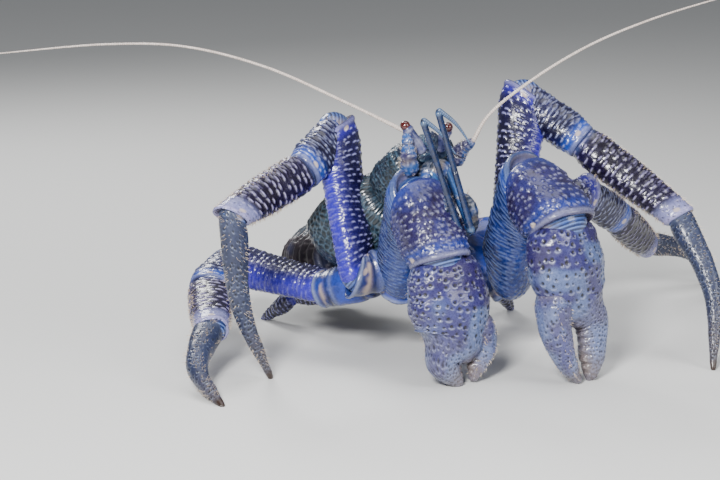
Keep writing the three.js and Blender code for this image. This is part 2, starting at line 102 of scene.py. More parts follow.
# Carapace: a hard limy shell over the head and the gills, narrow in front and swollen behind, dark teal
# with a pale network between its flat scales. A front part, which ends in a short pointed rostrum,
# meets a back part in a groove across.
ROSTRUM = np.array([-17.0, -80.0, 160.0])
YAW = math.radians(25)
PITCH = math.radians(38)
ROLL = 6


def unit(line):
    line = np.asarray(line, float)
    return line / np.linalg.norm(line)


def turned(line, axis, degrees):
    """A direction turned about an axis."""
    line = np.asarray(line, float)
    sweep = math.radians(degrees)
    swing = np.cross(axis, line) * math.sin(sweep)
    return line * math.cos(sweep) + swing + axis * np.dot(axis, line) * (1 - math.cos(sweep))


FORWARD = np.array([math.sin(YAW) * math.cos(PITCH), -math.cos(YAW) * math.cos(PITCH), math.sin(PITCH)])
LEFT = turned([math.cos(YAW), math.sin(YAW), 0], FORWARD, ROLL)
UP = np.cross(FORWARD, LEFT)


def body(forward, left, up):
    return ROSTRUM + FORWARD * forward + LEFT * left + UP * up


def smooth(value, low, high):
    share = np.clip((value - low) / (high - low), 0, 1)
    return share * share * (3 - 2 * share)


def bell(value, width):
    return np.exp(-(value / width) ** 2)


def chance(row, column, seed):
    """A number from 0 to 1 that belongs to a cell of a pattern."""
    value = np.sin(row * 127.1 + column * 311.7 + seed * 74.7) * 43758.5453
    return value - np.floor(value)


def drift(place, size, seed):
    """Soft lumps of the given size in space, from 0 to 1."""
    cell = np.floor(place / size)
    part = place / size - cell
    part = part * part * (3 - 2 * part)
    total = 0
    for corner in itertools.product((0, 1), repeat=3):
        corner = np.array(corner)
        weight = np.prod(np.where(corner == 1, part, 1 - part), axis=-1)
        here = cell + corner
        total = total + weight * chance(here[..., 0] + 57 * here[..., 2], here[..., 1], seed)
    return total


class Limb:
    """A closed form of rounded sections along a smooth curve. Angle 90 is its upper or outer side."""

    def __init__(self, points, side, stations, ends=(0.06, 0.06), power=2.4, miter=(0, 0), crease=None):
        points = np.array(points, float)
        beyond = np.vstack([2 * points[0] - points[1], points, 2 * points[-1] - points[-2]])
        run = np.linspace(0, 1, 120, endpoint=False)[:, None]
        spans = []
        for a, b, c, d in zip(beyond, beyond[1:], beyond[2:], beyond[3:]):
            ab, bc, cd = (np.linalg.norm(q - p) ** 0.5 for p, q in ((a, b), (b, c), (c, d)))
            leave = ((b - a) / ab - (c - a) / (ab + bc) + (c - b) / bc) * bc
            reach = ((c - b) / bc - (d - b) / (bc + cd) + (d - c) / cd) * bc
            bow = 3 * (c - b) - 2 * leave - reach
            spans.append(b + leave * run + bow * run ** 2 + (2 * (b - c) + leave + reach) * run ** 3)
        self.line = np.vstack(spans + [points[-1:]])
        self.run = np.concatenate([[0], np.cumsum(np.linalg.norm(np.diff(self.line, axis=0), axis=1))])
        self.lean = np.gradient(self.line, self.run, axis=0)
        self.length = self.run[-1]
        self.side = np.asarray(side, float)
        self.stations = np.array([row if len(row) == 4 else [*row, row[-1]] for row in stations], float)
        self.ends = ends
        self.power = power
        self.miter = miter
        self.crease = crease

    def centre(self, share):
        return np.stack(
            [np.interp(share * self.length, self.run, self.line[:, k]) for k in range(3)], -1
        )

    def along(self, share):
        lean = np.stack(
            [np.interp(share * self.length, self.run, self.lean[:, k]) for k in range(3)], -1
        )
        return lean / np.linalg.norm(lean, axis=-1, keepdims=True)

    def size(self, share):
        """Half thickness, half depth above and half depth below, eased between the stations."""
        marks = self.stations[:, 0]
        after = np.clip(np.searchsorted(marks, share), 1, len(marks) - 1)
        low, high = marks[after - 1], marks[after]
        blend = (np.clip((share - low) / (high - low), 0, 1) + smooth(share, low, high)) / 2
        sizes = (
            self.stations[after - 1, 1:] * (1 - blend[:, None])
            + self.stations[after, 1:] * blend[:, None]
        )
        return sizes.T[..., None]

    def surface(self, share, draw, angle):
        """Points of the sections at the given shares of the length, drawn in by draw, at the angles."""
        angle = np.atleast_2d(angle)
        centre = self.centre(share)[:, None]
        along = self.along(share)
        across = self.side - along * (along @ self.side)[:, None]
        across /= np.linalg.norm(across, axis=1, keepdims=True)
        depth = np.cross(along, across)
        thick, above, below = self.size(share)
        x = np.sign(np.cos(angle)) * np.abs(np.cos(angle)) ** (2 / self.power)
        y = np.sign(np.sin(angle)) * np.abs(np.sin(angle)) ** (2 / self.power)
        draw = draw[:, None]
        fold = self.crease(share[:, None], angle) if self.crease else 1
        slope = self.miter[1] * smooth(share, 0.5, 1) - self.miter[0] * smooth(1 - share, 0.5, 1)
        return (
            centre
            + along[:, None] * (y * draw * slope[:, None])[..., None]
            + across[:, None] * (x * thick * draw * fold)[..., None]
            + depth[:, None] * (y * np.where(y > 0, above, below) * draw * fold)[..., None]
        )

    def rows(self, step, lip):
        """Shares and draws of the rows of points, from the closed start to a closed or a hollow end."""
        first, last = self.ends
        lead = np.linspace(
            0, math.pi / 2, max(4, int(first * self.length * 1.6 / step)), endpoint=False
        )
        share = [first * (1 - np.cos(lead))]
        draw = [np.sin(lead)]
        stop = 1 - lip[0][0] / self.length if lip else 1 - last
        body_rows = max(4, int((stop - first) * self.length / step))
        share.append(np.linspace(first, stop, body_rows))
        draw.append(np.ones(body_rows))
        if lip:
            share.append(1 - np.array([back for back, _ in lip]) / self.length)
            draw.append(np.array([narrow for _, narrow in lip]))
        else:
            tail = np.linspace(math.pi / 2, 0, max(4, int(last * self.length * 1.6 / step)))[1:]
            share.append(1 - last * (1 - np.cos(tail)))
            draw.append(np.sin(tail))
        return np.concatenate(share), np.concatenate(draw)


class Shell:
    """Where the points of a limb's skin lie: u millimetres from its start and left from its end, their
    share and angle of a turn round it, and whether they are inside a hollow end."""

    def __init__(self, limb, share, draw, angle):
        self.place = limb.surface(share, draw, angle)
        whole = limb.surface(share, np.ones_like(draw), angle)
        gaps = np.linalg.norm(np.roll(whole, -1, axis=1) - whole, axis=2)
        self.around = gaps.sum(axis=1, keepdims=True)
        self.turn = (np.cumsum(gaps, axis=1) - gaps) / self.around
        self.share = share[:, None]
        self.u = self.share * limb.length
        self.left = limb.length - self.u
        self.angle = np.degrees(angle)[None, :]
        outer = np.maximum.accumulate(np.where(draw[::-1] > 0.97, 1, 0))[::-1]
        self.inside = np.where((outer == 0) & (share > 0.5), smooth(1 - draw, 0.04, 0.12), 0)[:, None]

    def lumps(self, size, seed, height):
        """Soft rises and hollows of the given size and full height."""
        return height * (drift(self.place, size, seed) - 0.5)

    def clouds(self, size, seed, low, high):
        """Soft patches from 0 to 1, which begin at the low mark and are full at the high one."""
        return smooth(drift(self.place, size, seed), low, high)

    def face(self, centre, width):
        """1 on the side that looks along the angle, easing to 0 away from it."""
        return bell((self.angle - centre + 180) % 360 - 180, width)

    def spot(self, back, angle, radius):
        """A round spot, its middle so far back from the end."""
        sweep = np.radians((self.angle - angle + 180) % 360 - 180) * self.around / (2 * math.pi)
        return 1 - smooth(np.hypot(self.left - back, sweep), radius * 0.7, radius * 1.2)

    def nearest(self, pitch, columns, jitter, seed):
        """The nearest of many marks in staggered rows: how far off it lies along and across, how much
        farther the next one is, and a number of its own."""
        best = np.full(self.place.shape[:2], 1e9)
        second = best.copy()
        along, across, number = best.copy(), best.copy(), best.copy()
        row_here = np.floor(self.u / pitch)
        for row_step, column_step in itertools.product((-1, 0, 1), repeat=2):
            row = row_here + row_step
            shift = 0.5 * (row % 2)
            column = np.floor(self.turn * columns - shift) + column_step
            home = column % columns
            at_u = (row + 0.5 + jitter * (chance(row, home, seed) - 0.5)) * pitch
            at_turn = (column + 0.5 + shift + jitter * (chance(row, home, seed + 1) - 0.5)) / columns
            off = np.hypot((self.u - at_u) / pitch, (self.turn - at_turn) * columns)
            closer = off < best
            second = np.where(closer, best, np.minimum(second, off))
            along = np.where(closer, self.u - at_u, along)
            across = np.where(closer, (self.turn - at_turn) * self.around, across)
            number = np.where(closer, chance(row, home, seed + 2), number)
            best = np.where(closer, off, best)
        return along, across, second - best, number


def clad(name, limb, relief, material, nodes=(), step=0.6, lip=()):
    """Draws a ball of many faces out over a limb and raises its relief, and hands it to the frame. A
    relief gives the height in millimetres, and the pale, dark, bright and cream marks, from 0 to 1."""
    share, draw = limb.rows(step, lip)
    rings_round = limb.surface(share, np.ones_like(draw), np.linspace(0, 2 * math.pi, 73))
    girth = np.linalg.norm(np.diff(rings_round, axis=1), axis=2).sum(axis=1).max()
    columns = max(12, int(girth / step))
    angle = -math.pi / 2 + 2 * math.pi * np.arange(columns) / columns
    on = Shell(limb, share, draw, angle)
    ahead = np.gradient(on.place, axis=0)
    sideways = np.roll(on.place, -1, axis=1) - np.roll(on.place, 1, axis=1)
    normal = np.cross(sideways, ahead)
    normal /= np.linalg.norm(normal, axis=2, keepdims=True) + 1e-9
    height, *marks = relief(on)
    height = np.broadcast_to(height, on.turn.shape) * (draw > 0)[:, None]
    grid = (on.place + normal * height[..., None] + ORIGIN) * MM
    grid[..., 2] = np.maximum(grid[..., 2], 0)
    marks = np.stack([np.broadcast_to(np.clip(mark, 0, 1), on.turn.shape) for mark in marks], -1)
    rings = len(share) - 1
    bpy.ops.object.select_all(action="DESELECT")
    bpy.ops.mesh.primitive_uv_sphere_add(segments=columns, ring_count=rings, location=(0, 0, 0))
    piece = bpy.context.object
    piece.name = name
    mesh = piece.data
    ball = np.empty(len(mesh.vertices) * 3, np.float32)
    mesh.vertices.foreach_get("co", ball)
    ball = ball.reshape(-1, 3).astype(float)
    ring = rings - np.rint(np.arccos(np.clip(ball[:, 2], -1, 1)) / math.pi * rings).astype(int)
    turn = np.arctan2(ball[:, 1], ball[:, 0]) / (2 * math.pi)
    segment = np.rint(turn * columns).astype(int) % columns
    mesh.vertices.foreach_set("co", grid[ring, segment].astype(np.float32).ravel())
    paint = mesh.attributes.new("marks", "FLOAT_COLOR", "POINT")
    paint.data.foreach_set("color", marks[ring, segment].astype(np.float32).ravel())
    bpy.ops.object.shade_smooth()
    mesh.materials.append(material)
    mesh.update()
    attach(piece, "root")
    if nodes:
        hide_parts(*nodes)


# The finish of every hard part: a mottled ground, a brighter second colour, pale crests, pits and
# grooves darkened with painted shade, and cream joint skin, all laid by the marks of the relief, with a
# fine leathery grain. The pale of the raised joint rims is partly a painted highlight.
shell_paint = bpy.data.node_groups.new("shell_paint", "ShaderNodeTree")
for socket_name in ("Ground", "Second", "Bright", "Pale", "Dark", "Cream", "Marks"):
    shell_paint.interface.new_socket(socket_name, in_out="INPUT", socket_type="NodeSocketColor")
for socket_name in ("Cream Mark", "Blotch", "Gloss"):
    shell_paint.interface.new_socket(socket_name, in_out="INPUT", socket_type="NodeSocketFloat")
shell_paint.interface.new_socket("Color", in_out="OUTPUT", socket_type="NodeSocketColor")
shell_paint.interface.new_socket("Roughness", in_out="OUTPUT", socket_type="NodeSocketFloat")
shell_paint.interface.new_socket("Grain", in_out="OUTPUT", socket_type="NodeSocketFloat")


def add(tree, kind, **values):
    """Adds a node, sets its own values, and sets or links its inputs by name or number."""
    node = tree.nodes.new(kind)
    inputs = values.pop("inputs", {})
    for key, value in values.items():
        setattr(node, key, value)
    for key, value in inputs.items():
        if isinstance(value, bpy.types.NodeSocket):
            tree.links.new(value, node.inputs[key])
        else:
            node.inputs[key].default_value = value
    return node


def blend(tree, factor, first, second, kind="MIX"):
    """Mixes two colours by a mask."""
    return add(tree, "ShaderNodeMix", data_type="RGBA", blend_type=kind,
               inputs={0: factor, 6: first, 7: second}).outputs[2]


def sums(tree, operation, first, second=0.0, third=0.0):
    node = add(tree, "ShaderNodeMath", operation=operation, inputs={0: first, 1: second, 2: third})
    return node.outputs[0]


given = shell_paint.nodes.new("NodeGroupInput").outputs
spot = shell_paint.nodes.new("ShaderNodeTexCoord").outputs["Object"]
masks = add(shell_paint, "ShaderNodeSeparateColor", inputs={0: given["Marks"]}).outputs
cloud = add(shell_paint, "ShaderNodeTexNoise",
            inputs={"Vector": spot, "Scale": given["Blotch"], "Detail": 5.0, "Roughness": 0.62})
cloud = cloud.outputs["Fac"]
cloud = add(shell_paint, "ShaderNodeMapRange", inputs={0: cloud, 1: 0.4, 2: 0.62}).outputs[0]
speck = add(shell_paint, "ShaderNodeTexNoise",
            inputs={"Vector": spot, "Scale": 620.0, "Detail": 3.0, "Roughness": 0.6}).outputs["Fac"]
crackle = add(shell_paint, "ShaderNodeTexVoronoi", inputs={"Vector": spot, "Scale": 900.0})
crackle = crackle.outputs["Distance"]
tone = blend(shell_paint, cloud, given["Ground"], given["Second"])
tone = blend(shell_paint, masks[2], tone, given["Bright"])
dust = add(shell_paint, "ShaderNodeMapRange", inputs={0: speck, 1: 0.35, 2: 0.65, 3: 0.78, 4: 1.2})
dust = dust.outputs[0]
grey = add(shell_paint, "ShaderNodeCombineColor", inputs={0: dust, 1: dust, 2: dust}).outputs[0]
tone = blend(shell_paint, 1.0, tone, grey, "MULTIPLY")
# The pale mark: pale crests, seams and edges, and on the raised joint rims partly a painted highlight.
pale_and_highlight = sums(shell_paint, "MULTIPLY", masks[0], sums(shell_paint, "MULTIPLY_ADD", speck, 0.9, 0.5))
pale_and_highlight = add(shell_paint, "ShaderNodeClamp", inputs={0: pale_and_highlight}).outputs[0]
tone = blend(shell_paint, pale_and_highlight, tone, given["Pale"])
# The dark mark: shade painted into pits, folds and grooves, and the darker colour of joints and rings.
tone = blend(shell_paint, masks[1], tone, given["Dark"])
tone = blend(shell_paint, given["Cream Mark"], tone, given["Cream"])
rough = sums(shell_paint, "MULTIPLY_ADD", speck, 0.12, given["Gloss"])
rough = sums(shell_paint, "MULTIPLY_ADD", masks[1], 0.25, rough)
grain = sums(shell_paint, "MULTIPLY_ADD", crackle, 0.6, speck)
leave = shell_paint.nodes.new("NodeGroupOutput")
shell_paint.links.new(tone, leave.inputs["Color"])
shell_paint.links.new(rough, leave.inputs["Roughness"])
shell_paint.links.new(grain, leave.inputs["Grain"])

CREAM = (206, 188, 168)


def shell(name, ground, second, bright, pale, dark, cream=CREAM,
          blotch=42.0, gloss=0.22, coat=0.35, grain=0.25):
    """A hard or horny finish in six colours."""
    finish = bpy.data.materials.new(name)
    finish.use_nodes = True
    tree = finish.node_tree
    marks = add(tree, "ShaderNodeAttribute", attribute_name="marks")
    paint = add(tree, "ShaderNodeGroup", node_tree=shell_paint, inputs={
        "Ground": ink(*ground), "Second": ink(*second), "Bright": ink(*bright),
        "Pale": ink(*pale), "Dark": ink(*dark), "Cream": ink(*cream),
        "Marks": marks.outputs["Color"], "Cream Mark": marks.outputs["Alpha"],
        "Blotch": blotch, "Gloss": gloss,
    })
    shader = tree.nodes["Principled BSDF"]
    tree.links.new(paint.outputs["Color"], shader.inputs["Base Color"])
    tree.links.new(paint.outputs["Roughness"], shader.inputs["Roughness"])
    bump = add(
        tree, "ShaderNodeBump",
        inputs={"Strength": grain, "Distance": 0.0004, "Height": paint.outputs["Grain"]}
    )
    tree.links.new(bump.outputs["Normal"], shader.inputs["Normal"])
    shader.inputs["Coat Weight"].default_value = coat
    shader.inputs["Coat Roughness"].default_value = 0.12
    return finish


def dashes(on, pitch, columns, half, lift, seed, sweep=0.05, jitter=0.5):
    """Rows of short raised ridges, steep on the side of the limb's tip, and their pale crests."""
    along, across, _, number = on.nearest(pitch, columns, jitter, seed)
    taper = np.clip(1 - (across / (half * (0.65 + 0.6 * number))) ** 2, 0, 1)
    crest = along + sweep * across ** 2
    rise = smooth(crest, -0.6 * pitch, 0) * (1 - smooth(crest, 0, 1.1))
    return lift * taper * rise, taper ** 0.7 * bell(crest + 0.05, 0.46)


def network(on, pitch, columns, seed, line=0.12, jitter=0.85):
    """Flat scales of no fixed shape with a sunken line between them: their height, and the line."""
    _, _, edge, number = on.nearest(pitch, columns, jitter, seed)
    seam = 1 - smooth(edge, line * 0.4, line * 2)
    return 0.5 * smooth(edge, 0, 0.5) + 0.25 * (number - 0.5), seam


teal = shell("carapace_shell", (6, 13, 20), (10, 23, 32), (20, 36, 75), (72, 96, 115),
             (2, 4, 7), gloss=0.24, coat=0.4)

SHIELD_END = 62
SHELL_END = 128
SHIELD_HALF = 27
GILL_HALF = 56
shield = Limb(
    [body(3, 0, -1), body(-20, 0, -2), body(-SHIELD_END, 0, -4)], -LEFT,
    [
        [0, 1.6, 1.4, 2], [0.13, 7, 4, 7], [0.24, 20, 8, 11], [0.4, 25, 12, 20],
        [0.75, SHIELD_HALF, 16, 28], [1, SHIELD_HALF - 2, 16, 30],
    ],
    ends=(0.02, 0.07), power=2.2,
)


def shield_relief(on):
    scales, seam = network(on, pitch=3.6, columns=42, seed=11)
    ridge, crest = dashes(on, pitch=4.2, columns=26, half=2.8, lift=0.6, seed=12)
    middle = on.face(90, 11)
    flank = on.face(90, 42) * (1 - on.face(90, 24)) * smooth(on.share, 0.25, 0.5)
    # The groove at the neck, also darkened with painted shade.
    neck = bell(on.left - 3, 3.0)
    front = 1 - smooth(on.share, 0.12, 0.4)
    lumps = on.lumps(13, 5, 1.6)
    height = (
        scales * 0.8 + ridge + lumps * smooth(on.share, 0.15, 0.4) + 0.8 * middle - 1.4 * flank
        - 1.8 * neck
    )
    pale = 0.5 * seam * (1 - front) + 0.75 * crest + 0.4 * front * on.clouds(6, 6, 0.5, 0.8)
    return height, pale, 0.4 * neck, 0.5 * front + 0.3 * flank, 0


def valley(share, angle):
    top = np.exp(-((np.degrees(angle) - 90) / 14) ** 2)
    return 1 - 0.13 * top * np.sin(math.pi * np.minimum(1, share * 1.2))


gills = Limb(
    [body(-SHIELD_END + 4, 0, -4), body(-95, 0, -4), body(-SHELL_END, 0, -9)], -LEFT,
    [
        [0, SHIELD_HALF, 12, 28], [0.15, 37, 17, 34], [0.42, 51, 21, 40],
        [0.7, GILL_HALF, 20, 40], [0.88, 51, 15, 36], [1, 40, 9, 28],
    ],
    ends=(0.06, 0.09), power=2.3, crease=valley,
)


def gill_relief(on):
    scales, seam = network(on, pitch=4.6, columns=62, seed=21)
    wrinkle, crest = dashes(on, pitch=3.8, columns=54, half=3.2, lift=0.5, seed=22)
    # Two grooves along the back, also darkened with painted shade.
    lane = bell(np.abs((on.angle + 180) % 360 - 180 - 90) - 17, 4.5) * smooth(on.share, 0.05, 0.2)
    skirt = 1 - smooth(on.angle % 360, -20, 12) * (1 - smooth(on.angle, 168, 200))
    lumps = on.lumps(19, 7, 2.4) + on.lumps(8, 8, 1.0)
    height = scales + 0.6 * wrinkle + lumps - 2.2 * lane
    pale = 0.62 * seam + 0.35 * crest * (1 - skirt)
    hem = bell(on.left - 2, 2.2)
    return height, pale + 0.4 * hem, 0.5 * lane, 0.25 * on.clouds(22, 9, 0.5, 0.75), 0


clad("carapace_front", shield, shield_relief, teal, ["carapace_shield"])
clad("carapace_back", gills, gill_relief, teal, ["carapace_rear"], step=0.9)

# Breast: the firm underside between the legs, of smooth horny plates with tan seams of soft skin
# between them. It is fixed under the carapace, and the limbs are hinged on it.
skin = shell("breast_skin", (18, 24, 46), (31, 39, 69), (30, 51, 131), (120, 127, 151),
             (7, 6, 11), gloss=0.28, coat=0.3, blotch=60.0)
thorax = Limb(
    [body(-20, 0, -30), body(-75, 0, -33), body(-SHELL_END, 0, -30)], -LEFT,
    [[0, 13, 16, 16], [0.3, 20, 22, 24], [0.6, 24, 24, 26], [0.85, 24, 22, 24], [1, 18, 16, 14]],
    ends=(0.08, 0.1),
)


def breast_relief(on):
    seam = bell((on.u + 4) % 19 - 9.5, 1.6)
    keel = on.face(-90, 8)
    lumps = on.lumps(9, 31, 1.4)
    cream = 0.8 * np.maximum(seam, keel * 0.7)
    return lumps - 1.6 * seam - keel, 0.2, 0.3 * seam, on.clouds(12, 32, 0.4, 0.7), cream


clad("breast", thorax, breast_relief, skin, ["thorax"], step=1.2)

# Abdomen: a soft leathery sac that folds across and carries low warts. Five hard plates lie on its back
# and overlap backwards, and the small plates of the tail fan are tucked under its end.
leather = shell("abdomen_skin", (27, 20, 29), (41, 29, 41), (37, 41, 72), (110, 96, 101),
                (7, 5, 8), gloss=0.4, coat=0.15, grain=0.5, blotch=55.0)
ABDOMEN_HALF = 47
root = body(-SHELL_END - 1, 0, -20)
belly = Limb(
    [root, root + (-16, 36, -10), root + (-29, 66, -17), root + (-38, 90, -32)], -LEFT,
    [
        [0, 24, 14, 16], [0.25, 40, 22, 22], [0.5, ABDOMEN_HALF, 25, 24],
        [0.78, 42, 24, 20], [1, 24, 14, 12],
    ],
    ends=(0.1, 0.16),
)


def belly_relief(on):
    sway = 3 * drift(on.place, 16, 41)
    # Folds across the sac; their troughs are darkened with painted shade.
    fold = np.sin((on.u + sway) * 2 * math.pi / 7.5)
    along, across, _, number = on.nearest(pitch=4.4, columns=50, jitter=0.9, seed=42)
    wart = bell(np.hypot(along, across), 1.1) * (number > 0.35)
    height = 0.8 * fold + 0.8 * wart + on.lumps(11, 43, 1.6) - 0.6
    return height, 0.45 * wart, 0.35 * smooth(-fold, 0.3, 1), on.clouds(20, 44, 0.5, 0.8), 0


clad("abdomen_sac", belly, belly_relief, leather, ["abdomen"], step=1.1)


def plate_relief(on):
    scales, seam = network(on, pitch=3.8, columns=52, seed=51)
    hem = bell(on.left - 2.2, 1.6)
    ridge, crest = dashes(on, pitch=4.6, columns=40, half=3.0, lift=0.5, seed=52)
    height = 0.8 * scales + ridge + 0.9 * hem + on.lumps(12, 53, 1.0)
    return height, 0.5 * seam + 0.5 * crest + 0.7 * hem, 0, 0.2, 0


PLATES = 5
PLATE_PITCH = 0.185
PLATE_LENGTH = 0.215
for number in range(PLATES):
    start = 0.02 + number * PLATE_PITCH
    stop = min(0.985, start + PLATE_LENGTH)
    marks_along = np.linspace(0, 1, 6)
    on_sac = start + (stop - start) * marks_along
    wide, above, _ = belly.size(on_sac)[..., 0]
    roof = Limb(
        list(belly.centre(on_sac)), -LEFT,
        [[at, w * 0.9, a + 2.4 + 1.4 * at, 2] for at, w, a in zip(marks_along, wide, above)],
        ends=(0.12, 0.12), power=2.1,
    )
    clad(f"back_plate_{number + 1}", roof, plate_relief, teal,
         [f"tergite_{number + 1}"], step=0.9)

tail_end = belly.centre(np.array([0.95]))[0]
fan = Limb(
    [tail_end, tail_end + (-4, 12, -10), tail_end + (-2, 10, -22)], -LEFT,
    [[0, 15, 7], [0.4, 17, 6], [0.8, 13, 4], [1, 8, 3]], ends=(0.1, 0.2),
)


def fan_relief(on):
    # Splits between the plates, also darkened with painted shade.
    split = on.face(90, 7) + on.face(50, 5) + on.face(130, 5)
    ridge, crest = dashes(on, pitch=3.4, columns=20, half=2.0, lift=0.5, seed=61)
    return ridge - 1.2 * split, 0.5 * crest, 0.3 * split, 0.4, 0


clad("tail_plates", fan, fan_relief, teal, ["tail_fan"])

# Claw arms: the two great pincers, of hard violet-blue shell. Each has a base, a ridged upper arm, a
# wrist, and a heavy palm, its pits darkened with painted shade, that runs on as the fixed finger. The
# movable finger is hinged on its inner side.
ARM_SECTIONS = {
    "base": [[0, 11, 11], [0.5, 14, 14], [1, 15, 14]],
    "merus": [[0, 15, 14], [0.3, 19, 17], [0.7, 20, 19], [0.9, 20, 20], [1, 17, 17]],
    "carpus": [[0, 20, 15], [0.3, 22, 19], [0.7, 22.5, 20], [1, 19, 17]],
}
ARMS = {
    "claw_right": {
        "hip": (-56, -15, -52), "size": 1, "palm": (29, 19), "finger": 0.6, "inner": 1,
        "bones": [[35, 116, -62], [74, -72, 61], [40, -57, -53], [88.5, -16]],
    },
    "claw_left": {
        "hip": (-56, 15, -52), "size": 1.08, "palm": (29, 20), "finger": 0.47, "inner": -1,
        "bones": [[48, 2, -37], [75, -60, 66], [36, -58, -30], [110, -7]],
    },
}

# How a hollow joint rim folds in: millimetres back from the end, and how far the section is drawn in
RIM = (
    (1.6, 1.0), (0.8, 0.995), (0.2, 0.97), (0, 0.94), (0.4, 0.9), (1.4, 0.87), (2.8, 0.85),
    (4.2, 0.8), (5.2, 0.68), (5.8, 0.5), (6.1, 0.3), (6.2, 0.12), (6.2, 0),
)


def heading(azimuth, elevation):
    flat = math.cos(math.radians(elevation))
    turn = math.radians(azimuth)
    return np.array([flat * math.cos(turn), flat * math.sin(turn), math.sin(math.radians(elevation))])


def joints(hip, bones):
    """Joint points of a limb. The slope of its last bone is worked out, for it ends on the floor."""
    points = [body(*hip)]
    for number, bone in enumerate(bones):
        if number == len(bones) - 1:
            bone[2:] = [-math.degrees(math.asin((points[-1][2] + 0.8) / bone[0]))]
        points.append(points[-1] + heading(bone[1], bone[2]) * bone[0])
    return points


def hinge(bones, first, second):
    return unit(np.cross(heading(*bones[first][1:]), heading(*bones[second][1:])))


def overlapped(start, stop, before, after):
    along = unit(stop - start)
    return [start - along * before, stop + along * after]


def miters(bones, number, side, depth):
    """How far the ends of a segment slant to meet its neighbours."""
    here = heading(*bones[number][1:])
    up = unit(np.cross(here, side))
    slants = []
    for other, sign in ((number - 1, -1), (number + 1, 1)):
        if not 0 <= other < len(bones):
            slants.append(0)
            continue
        beyond = heading(*bones[other][1:])
        lean = -sign * np.dot(beyond, up) / (1 + np.dot(here, beyond))
        slants.append(float(np.clip(lean, -0.8, 0.8)) * depth * 0.85)
    return slants


def scaled(stations, size):
    return [[share, *(half * size for half in halves)] for share, *halves in stations]


def pits(on, pitch, columns, radius, depth, seed, jitter=0.75):
    """Scattered small pits with a pale lip on the side of the tip: height, the pit mask that paints
    shade into each pit, and lip.
    """
    along, across, _, number = on.nearest(pitch, columns, jitter, seed)
    size = radius * (0.65 + 0.7 * number)
    away = np.hypot(along, across) / size
    bowl = 1 - smooth(away, 0.55, 1.15)
    lip = bell(away - 1.5, 0.35) * smooth(along, 0.2 * size, 1.2 * size)
    return depth * (0.5 * lip - bowl), bowl, lip


def between(on, start, stop):
    """0 on the smooth ends of a segment, in millimetres from each, and 1 between them."""
    return smooth(on.u, start * 0.6, start * 1.5) * smooth(on.left, stop * 0.6, stop * 1.5)


def rimmed(on, wide=1.5):
    """A raised rim round the hollow end, pale in part as its own colour and in part as a painted
    highlight, with a cream hinge knob on each side.
    """
    rim = bell(on.left - 2.2, wide) * (1 - on.inside)
    knob = np.maximum(on.spot(5, 0, 1.7), on.spot(5, 180, 1.7)) * (1 - on.inside)
    return rim, knob


joint_skin = shell("joint_skin", (10, 18, 52), (18, 34, 88), (40, 92, 196), (150, 172, 206),
                   (4, 5, 14), cream=(164, 146, 130), gloss=0.16, coat=0.6, blotch=70.0)


def knuckle_relief(on):
    """Fine arcs that follow the rim, with cream skin towards the two hinge points."""
    arc = 0.5 + 0.5 * np.sin(on.u * 2 * math.pi / 2.4)
    hinge_side = np.maximum(on.face(0, 22), on.face(180, 22))
    return 0.25 * arc, 0.45 * arc ** 3, 0.5 * (1 - arc), 0.7 * arc, 0.5 * hinge_side


BALL_END = 0.499
RIM_SHARE = 0.95
KNUCKLE_DEPTH = 0.46
KNUCKLE_WIDTH = 0.86


def knuckle(name, limb, centre, beyond, side):
    """The rounded head that fills a hollow rim, flattened along the hinge."""
    thick, above, below = limb.size(np.array([RIM_SHARE]))[:, 0, 0]
    radius = KNUCKLE_DEPTH * (above + below)
    wide = KNUCKLE_WIDTH * thick
    along = unit(limb.along(np.array([0.97]))[0] + unit(beyond - centre))
    head = Limb([centre - along * radius, centre + along * radius], side,
                [[0, wide, radius], [1, wide, radius]], ends=(BALL_END, BALL_END), power=2)
    clad(name, head, knuckle_relief, joint_skin, step=0.9)


palm_shell = shell("palm_shell", (41, 34, 81), (52, 53, 109), (87, 105, 148), (160, 165, 193),
                   (7, 5, 16), cream=(112, 102, 102), gloss=0.22, blotch=36.0)
wrist_shell = shell("wrist_shell", (32, 24, 59), (42, 38, 88), (31, 51, 131), (151, 153, 186),
                    (6, 5, 13), gloss=0.22, blotch=48.0)
arm_shell = shell("arm_shell", (9, 15, 43), (17, 25, 69), (27, 51, 128), (103, 122, 169),
                  (3, 4, 12), gloss=0.2, blotch=44.0)
base_shell = shell("base_shell", (22, 32, 85), (34, 49, 109), (31, 58, 153), (138, 148, 177),
                   (7, 8, 20), cream=(168, 150, 138), gloss=0.18, coat=0.5, blotch=60.0)


def arm_base_relief(on):
    # The pale of the raised rim is partly a painted highlight.
    rim, knob = rimmed(on)
    # Two folds sunk into the shell, also darkened with painted shade.
    fold = bell(on.left - 9, 2.0) + bell(on.left - 20, 2.2)
    tan = 0.8 * bell(on.left - 7.5, 1.6) * on.clouds(5, 71, 0.35, 0.7)
    lumps = on.lumps(9, 72, 1.6)
    bright = on.clouds(11, 73, 0.3, 0.7)
    return lumps + 0.8 * rim - 0.7 * fold, 0.6 * rim, 0.5 * fold, bright, tan + 0.7 * knob


def arm_merus_relief(on):
    body_part = between(on, 8, 3)
    ridges, crests = dashes(on, pitch=2.6, columns=11, half=8.0, lift=0.8, seed=73, sweep=0.02)
    grain, specks = dashes(on, pitch=3.6, columns=24, half=1.8, lift=0.5, seed=74)
    inner = on.face(-90, 60)
    # The pale of the raised rim is partly a painted highlight.
    rim, knob = rimmed(on, 2.0)
    height = body_part * ((1 - inner) * ridges + inner * grain) + 1.1 * rim + on.lumps(12, 75, 1.2)
    pale = body_part * (0.65 * (1 - inner) * crests + 0.6 * inner * specks) + 0.55 * rim
    bright = 0.8 * inner + bell(on.left - 6, 4) + 0.3 * on.clouds(9, 76, 0.5, 0.7)
    return height, pale, 0, bright, 0.7 * knob + 0.2 * on.inside


